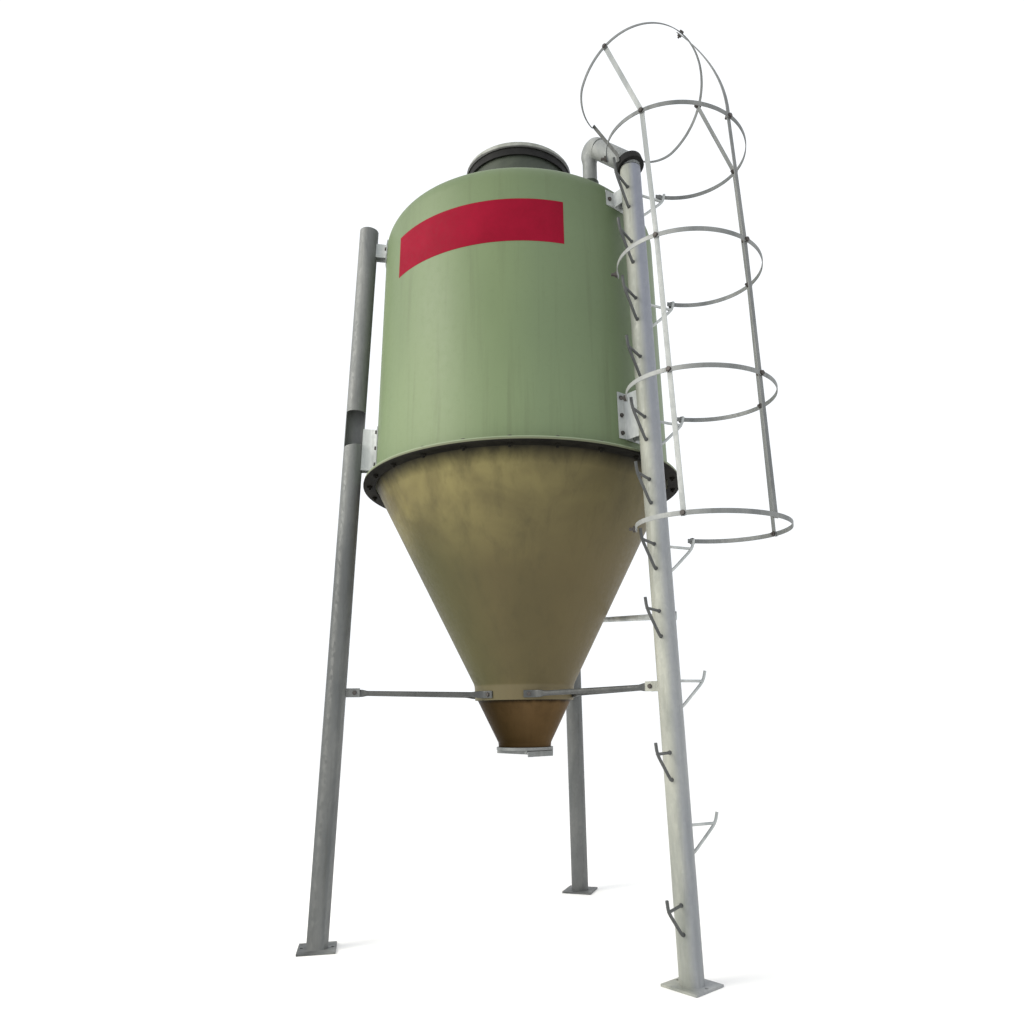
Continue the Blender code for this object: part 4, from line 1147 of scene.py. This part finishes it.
def buildStraps(plan):
    section = barSection(plan["thick"], plan["strapWide"])
    for label in "abc":
        path, sides = strapPath(label)
        along = np.gradient(path, axis=0)
        along /= np.linalg.norm(along, axis=1)[:, None]
        face = np.cross(sides, along)
        face /= np.linalg.norm(face, axis=1)[:, None]
        flank = np.cross(along, face)
        grid = path[:, None] + face[:, None] * section[None, :, :1] + flank[:, None] * section[None, :, 1:]
        newPiece(f"strap_{label}Bar", closedShape(grid), plan["strapFinish"][label], [f"strap_{label}"], sharpAt=25.0)


buildStraps(cage)


def buildCageBolts(plan):
    heads, headAxes, nuts, nutAxes = [], [], [], []
    ends, endAxes = [], []

    def bolted(centre, turned, radius, inset, angle):
        outward = turned @ heading(angle)
        heads.append(roundPoint(centre, turned, radius + plan["thick"] / 2 + 0.0001, angle))
        headAxes.append(outward)
        nuts.append(roundPoint(centre, turned, radius - inset - plan["thick"] / 2 - 0.0001, angle))
        nutAxes.append(-outward)

    for label, (low, high) in plan["strapAngles"].items():
        for i, (centre, turned) in enumerate(zip(hoopCentres, hoopLeans)):
            bolted(centre, turned, plan["radius"], plan["inset"], low + (high - low) * i / 3)
            if label == "b" and i == 0:
                heads.pop()
                headAxes.pop()
        bolted(topCentre, lean, topHoop["radius"], topHoop["inset"], topHoop["angles"][label])
    for centre, turned in zip(hoopCentres, hoopLeans):
        for side in (-1, 1):
            turn = side * (hoopEnd - 4.0)
            reach = plan["radius"] - plan["curl"] * (31.0 / 35.0) ** 1.45 + plan["thick"] / 2 + 0.0001
            ends.append(roundPoint(centre, turned, reach, turn))
            endAxes.append(turned @ heading(turn))
    shapes = [
        scattered(hexBolt(plan["boltSize"]), heads, headAxes),
        scattered(hexBolt(plan["boltSize"], 0.006), nuts, nutAxes),
        scattered(hexBolt(plan["endBolt"], 0.016), ends, endAxes),
    ]
    newPiece("cageBolts", together(shapes), "boltSteel")


buildCageBolts(cage)
print("cage made")

# ---- Fill pipe ----

fill = {
    "radius": 0.0503,
    "wall": 0.003,
    "low": 3.745 + 0.0003 + 0.0508 * 0.0419 * 2,
    "turn": 3.778,
    "slope": 45.0,
    "downX": 0.576,
    "dropRadius": 0.0375,
    "crease": 0.002,
    "end": 3.804,
    "fullness": ((0.18, 0.113), (0.34, 0.125), (0.50, 0.126), (0.64, 0.114), (0.78, 0.096), (0.90, 0.080), (1.0, 0.075)),
}


def pipeRings(plan, grow, count=48):
    # rings of the leaning pipe, then of an elbow that pivots on its inner crease with a width for each share of the turn
    spin = np.arange(count) * math.tau / count
    low, turn = legPoint(0.0, plan["low"]), legPoint(0.0, plan["turn"])
    slope = math.radians(plan["slope"])
    rise = np.array([-math.cos(slope), 0.0, math.sin(slope)])
    out = np.array([rise[2], 0.0, -rise[0]])
    creaseX = axisX + plan["downX"] + plan["dropRadius"] + plan["crease"]
    reach = (creaseX - turn[0] + out[0] * (plan["radius"] + plan["crease"])) / rise[0]
    start = turn + rise * reach
    crease = start - out * (plan["radius"] + plan["crease"])
    wide = plan["radius"] + grow
    path = np.concatenate([np.linspace(low, turn, 4), np.linspace(turn, start, 10)[1:]])
    along = np.gradient(path, axis=0)
    along /= np.linalg.norm(along, axis=1)[:, None]
    across = np.array([0.0, 1.0, 0.0])
    top = np.cross(across, along)
    first = path[:, None] - wide * np.cos(spin)[None, :, None] * -top[:, None] + wide * np.sin(spin)[None, :, None] * across
    shares = np.linspace(0.06, 1.0, 22)
    known = np.array([(0.0, 2 * plan["radius"])] + list(plan["fullness"]))
    widths = np.interp(shares, known[:, 0], known[:, 1])
    angle = math.radians(90.0 - plan["slope"]) + (math.pi - math.radians(90.0 - plan["slope"])) * shares
    outward = np.stack([np.cos(angle), angle * 0, np.sin(angle)], -1)
    middle = crease + outward * (widths / 2 + plan["crease"])[:, None]
    high = plan["radius"] + (plan["dropRadius"] - plan["radius"]) * shares + grow
    elbow = middle[:, None] - outward[:, None] * ((widths / 2 + grow)[:, None] * np.cos(spin))[..., None]
    elbow = elbow + (high[:, None] * np.sin(spin))[..., None] * across
    slim = plan["dropRadius"] + grow
    foot = np.array([axisX + plan["downX"], 0.0, plan["end"]])
    ends = foot + slim * (np.cos(spin)[:, None] * [1.0, 0, 0] + np.sin(spin)[:, None] * across)
    return np.concatenate([first, elbow, ends[None]])


def buildPipe(plan):
    outer, inner = pipeRings(plan, 0.0), pipeRings(plan, -plan["wall"])
    newPiece("fillPipeSkin", closedShape(np.concatenate([outer, inner[::-1]]), wrapRows=True), "pipeZinc", ["fill_pipe"], sharpAt=40.0)


buildPipe(fill)
print("fill pipe made")
